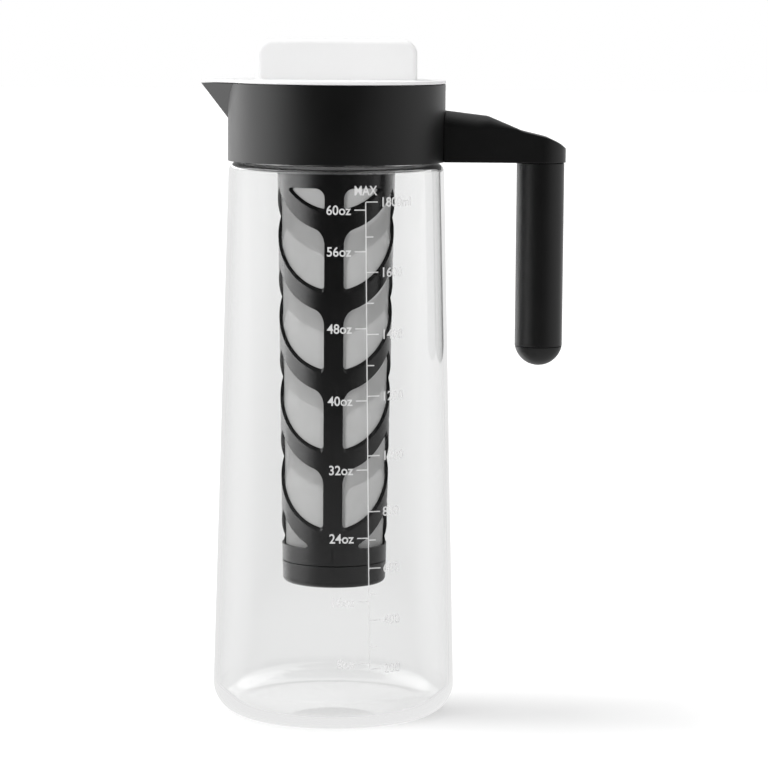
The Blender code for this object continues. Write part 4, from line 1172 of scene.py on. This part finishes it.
# Height of a figure in Blender's font, as a share of its size
FIGURE_SHARE = 0.70
LETTER_WEIGHT = 0.00008
LETTER_WIDTH = 0.94
LIMIT_LETTER_WIDTH = 0.83


def print_azimuth(height):
    """Where the scale's line stands round the glass at a height, from the front."""
    return reading(height, SCALE_FOOT, SCALE_TOP, SCALE_AZIMUTH_FOOT, SCALE_AZIMUTH_TOP)


def lettering(text, align, width=LETTER_WIDTH):
    """Flat condensed lettering, with its baseline through the origin."""
    curve = bpy.data.curves.new("print", "FONT")
    curve.body = text
    curve.align_x = align
    curve.size = LETTER_HEIGHT / FIGURE_SHARE
    curve.offset = LETTER_WEIGHT
    curve.extrude = PRINT_THICKNESS / 2
    curve.resolution_u = 4
    source = placed("print", curve)
    source.scale.x = width
    bpy.context.view_layer.update()
    mesh = bpy.data.meshes.new_from_object(source.evaluated_get(bpy.context.evaluated_depsgraph_get()))
    mesh.transform(source.matrix_world)
    bpy.data.objects.remove(source, do_unlink=True)
    return mesh


def wrapped(bm, mesh, along, height):
    """Lays a flat mesh on the glass, at a distance along it from the scale's line."""
    mesh.transform(Matrix.Translation((along, 0, 0)))
    start = print_azimuth(height)
    for vertex in mesh.vertices:
        z = height + vertex.co.y
        radius = glass_radius(z) + PRINT_THICKNESS + vertex.co.z
        angle = start + vertex.co.x / glass_radius(z)
        vertex.co = (radius * math.sin(angle), -radius * math.cos(angle), z)
    bm.from_mesh(mesh)
    bpy.data.meshes.remove(mesh)


def bar(low_x, high_x, low_y, high_y):
    """Flat thin bar."""
    bm = bmesh.new()
    half = PRINT_THICKNESS / 2
    block(bm, (low_x, low_y, -half), (high_x, high_y, half))
    return finished_mesh("bar", bm)


def volume_scale():
    """The line with its ticks and figures, ounces to the left and millilitres to the right."""
    bm = bmesh.new()
    half = LINE_WIDTH / 2
    rise = (SCALE_TOP - SCALE_FOOT) / LINE_STEPS
    for i in range(LINE_STEPS):
        wrapped(bm, bar(-half, half, 0, rise), 0, SCALE_FOOT + rise * i)
    for amount, height in OUNCES:
        wrapped(bm, bar(-OUNCE_TICK, -half, -half, half), 0, height)
        wrapped(bm, lettering(f"{amount}oz", "RIGHT"), -OUNCE_TICK - OUNCE_GAP, height - LETTER_HEIGHT / 2)
    for amount, height in MILLILITRES:
        long = amount in NUMBERED
        wrapped(bm, bar(half, LONG_TICK if long else SHORT_TICK, -half, half), 0, height)
        if long:
            text = f"{amount}ml" if amount == MILLILITRES[-1][0] else str(amount)
            wrapped(bm, lettering(text, "LEFT"), LONG_TICK + MILLILITRE_GAP, height - LETTER_HEIGHT / 2)
    wrapped(bm, lettering("MAX", "CENTER", LIMIT_LETTER_WIDTH), 0, SCALE_TOP + LIMIT_RISE)
    dress(new_object("volume_scale", bm), WHITE_PRINT, "carafe")


volume_scale()

# Floor, world and lamps. The world's levels stand in for the walls and lamps of a studio.

FLOOR_SIZE = 12.0
FLOOR_DROP = 0.0004
FLOOR_COLOUR = 0.80
FLOOR_SHOWN = 0.28
FLOOR_THROUGH_SHARE = 0.40
FLOOR_RIGHT = 0.05
# Levels of the world as plastics mirror it: behind, behind to the right, to the left and to the right
ROOM_WALLS = (0.4, 0.6, 1.75, 0.85)

# Each of these says where a level starts and stops changing, and its values there.
# By the distance from the middle of the object's foot:
FLOOR_THROUGH = (0.1, 3.0, 0.58, 0.64)
# The floor as plastics mirror it: behind, behind to the right and to the left
FLOOR_RISES = ((0.8, 3.0, 1.05, 1.3), (0.8, 3.0, 0.2, 1.2), (0.3, 0.9, 0.75, 2.6))
FLOOR_UNDER = (0.10, 0.30, 0.90, 0)
# By the place or the direction along Y or Z:
TABLE_FRONT = (-0.60, -0.72, 0.52, 0)
ROOM_THROUGH = (0.0, 0.8, 0.72, 1.0)
ROOM_ABOVE = (0.5, 0.9, 0, 0.30)
LAMP_FOOT = (0.40, 0.52, 0, 2.6)
LAMP_TOP = (0.78, 0.90, 1, 0)
# By the compass heading along X or Y, from -1 to 1:
WALL_BEHIND = (0.35, 0.90, 0.01, 1)
WALL_BEHIND_LEFT = (-0.4, 0.5, 1, 0)
WALL_BEHIND_RIGHT = (-0.4, 0.5, 0, 1)
WALL_LEFT = (-0.45, -0.85, 0, 1)
WALL_LEFT_BACK = (-0.9, -0.2, 0, 1)
WALL_RIGHT = (0.40, 0.95, 0, 1)
WALL_RIGHT_FRONT = (0.7, 0.3, 0.7, 1)
GLASS_FLOOR_BACK = (-0.35, 0.0, 0.04, 0.86)
GLASS_ROOM_BACK = (-0.35, 0.0, 0.04, 0.90)
LAMPS_ASIDE = ((0, 1, 0.4, 1), (0, -1, 0.4, 1))
ROOM_DIFFUSE = (0.2, 1.0, 0.49, 0.80)


class Levels(Tree):
    """Light levels worked out from a direction or a place."""

    def __init__(self, tree, coordinates):
        super().__init__(tree)
        self.place = self.nodes.new("ShaderNodeTexCoord").outputs[coordinates]
        self.split = self.nodes.new("ShaderNodeSeparateXYZ")
        self.links.new(self.place, self.split.inputs["Vector"])
        self.path = self.nodes.new("ShaderNodeLightPath")

    def spread(self, value, *limits):
        """A level that passes from low to high as a value goes from start to end."""
        step = self.map_range(value, *limits)
        step.interpolation_type = "SMOOTHSTEP"
        return step.outputs["Result"]

    def panel(self, axis, *limits):
        """A level by the place or the direction along one axis."""
        return self.spread(self.split.outputs[axis], *limits)

    def distance(self):
        """Distance of a place from the middle of the object's foot."""
        length = self.nodes.new("ShaderNodeVectorMath")
        length.operation = "LENGTH"
        self.links.new(self.place, length.inputs[0])
        return length.outputs["Value"]

    def sideways(self, axis, *limits):
        """A level by the compass heading alone, so that it stands from the floor to the ceiling."""
        x, y = self.split.outputs["X"], self.split.outputs["Y"]
        squares = self.math("ADD", self.math("MULTIPLY", x, x), self.math("MULTIPLY", y, y))
        flat = self.math("MAXIMUM", self.math("SQRT", squares, 0), 0.001)
        return self.spread(self.math("DIVIDE", self.split.outputs[axis], flat), *limits)

    def walls(self, behind, behind_right, left, right):
        """What stands round the object as its plastics show it: bright to the left, dark in front."""
        behind = self.math("MULTIPLY", behind, self.sideways("X", *WALL_BEHIND_LEFT))
        behind_right = self.math("MULTIPLY", behind_right, self.sideways("X", *WALL_BEHIND_RIGHT))
        back = self.math("MULTIPLY", self.math("ADD", behind, behind_right), self.sideways("Y", *WALL_BEHIND))
        left_sides = self.sideways("X", *WALL_LEFT), self.sideways("Y", *WALL_LEFT_BACK)
        right_sides = self.sideways("X", *WALL_RIGHT), self.sideways("Y", *WALL_RIGHT_FRONT)
        left = self.math("MULTIPLY", left, *left_sides)
        right = self.math("MULTIPLY", right, *right_sides)
        return self.math("ADD", back, left, right)

    def shares(self):
        """Share of each kind of ray: seen, through glass only, scattered, mirrored, mirrored by glass."""
        scattered = self.math("MINIMUM", self.path.outputs["Diffuse Depth"], 1)
        glossy = self.math("MINIMUM", self.path.outputs["Glossy Depth"], 1)
        mirror = self.math("MULTIPLY", self.math("SUBTRACT", 1, scattered), glossy)
        sharp = self.math("MULTIPLY", mirror, self.path.outputs["Is Singular Ray"])
        camera = self.path.outputs["Is Camera Ray"]
        straight = self.math("SUBTRACT", 1, self.math("ADD", scattered, mirror))
        return {
            "seen": camera,
            "through": self.math("SUBTRACT", straight, camera),
            "diffuse": scattered,
            "mirrored": self.math("SUBTRACT", mirror, sharp),
            "glazed": sharp,
        }

    def shared(self, **levels):
        """The sum of the levels given, each for its own kind of ray."""
        shares = self.shares()
        parts = [self.math("MULTIPLY", shares[kind], level) for kind, level in levels.items()]
        return self.math("ADD", *parts)


def studio_floor():
    """White floor that keeps the object's shadow."""
    bm = bmesh.new()
    bmesh.ops.create_circle(bm, cap_ends=True, segments=64, radius=FLOOR_SIZE)
    floor = new_object("floor", bm)
    floor.location.z = -FLOOR_DROP
    surface = Surface("floor", {"Roughness": 0.9, "Specular IOR Level": 0.0, "Emission Color": (1, 1, 1, 1)})
    levels = Levels(surface.material.node_tree, "Object")
    paper = levels.shared(seen=FLOOR_COLOUR, through=FLOOR_COLOUR * FLOOR_THROUGH_SHARE, diffuse=FLOOR_COLOUR)
    surface.feed(paper, "Base Color")
    distance = levels.distance()
    through = levels.spread(distance, *FLOOR_THROUGH)
    table = levels.panel("Y", *TABLE_FRONT)
    rises = [levels.spread(distance, *rise) for rise in FLOOR_RISES]
    mirrored = levels.math("ADD", table, levels.walls(*rises, FLOOR_RIGHT))
    under = levels.spread(distance, *FLOOR_UNDER)
    glazed = levels.math("MAXIMUM", levels.sideways("Y", *GLASS_FLOOR_BACK), under)
    shown = levels.shared(seen=FLOOR_SHOWN, through=through, mirrored=mirrored, glazed=glazed)
    surface.feed(shown, "Emission Strength")
    floor.data.materials.append(surface.material)


def studio_world():
    """White where it's seen, and a studio round the object where it's mirrored."""
    world = bpy.data.worlds.new("studio")
    bpy.context.scene.world = world
    world.use_nodes = True
    background = world.node_tree.nodes["Background"]
    background.inputs["Color"].default_value = (1, 1, 1, 1)
    levels = Levels(world.node_tree, "Generated")
    mirrored = levels.math("ADD", levels.walls(*ROOM_WALLS), levels.panel("Z", *ROOM_ABOVE))
    through = levels.panel("Y", *ROOM_THROUGH)
    aside = levels.math("MAXIMUM", *(levels.sideways("X", *side) for side in LAMPS_ASIDE))
    lamps = levels.math("MULTIPLY", levels.panel("Z", *LAMP_FOOT), levels.panel("Z", *LAMP_TOP), aside)
    glazed = levels.math("ADD", levels.sideways("Y", *GLASS_ROOM_BACK), lamps)
    diffuse = levels.sideways("X", *ROOM_DIFFUSE)
    level = levels.shared(seen=1.0, through=through, diffuse=diffuse, mirrored=mirrored, glazed=glazed)
    world.node_tree.links.new(level, background.inputs["Strength"])


def sun(name, towards, strength, spread):
    """A distant lamp that shines along a direction, and shows neither in reflections nor through glass."""
    lamp = bpy.data.lights.new(name, "SUN")
    lamp.energy = strength
    lamp.angle = math.radians(spread)
    obj = placed(name, lamp)
    obj.rotation_euler = Vector(towards).to_track_quat("-Z", "Y").to_euler()
    obj.visible_glossy = False
    obj.visible_transmission = False


studio_floor()
studio_world()
sun("key", (0.44, -0.03, -0.95), strength=1.9, spread=26)
sun("front_fill", (0.65, 0.90, -0.25), strength=0.9, spread=30)

# Camera, at the photograph's place

CAMERA_PLACE = (0, -1.4476, 0.3178)
CAMERA_PAN = math.radians(-0.879)
CAMERA_PITCH = math.radians(6.60)
CAMERA_ROLL = math.radians(0.436)
CAMERA_LENS = 150.1


def photo_camera():
    """Camera that sees the object as the photo does."""
    data = bpy.data.cameras.new("camera")
    data.lens = CAMERA_LENS
    data.sensor_width = 36
    data.clip_start = 0.1
    data.clip_end = 20
    camera = placed("camera", data)
    aim = Matrix.Rotation(CAMERA_PAN, 4, "Z") @ Matrix.Rotation(math.radians(90) - CAMERA_PITCH, 4, "X")
    camera.matrix_world = Matrix.Translation(CAMERA_PLACE) @ aim @ Matrix.Rotation(CAMERA_ROLL, 4, "Z")
    bpy.context.scene.camera = camera


photo_camera()
bpy.context.scene.view_settings.view_transform = "Standard"

bpy.context.view_layer.update()
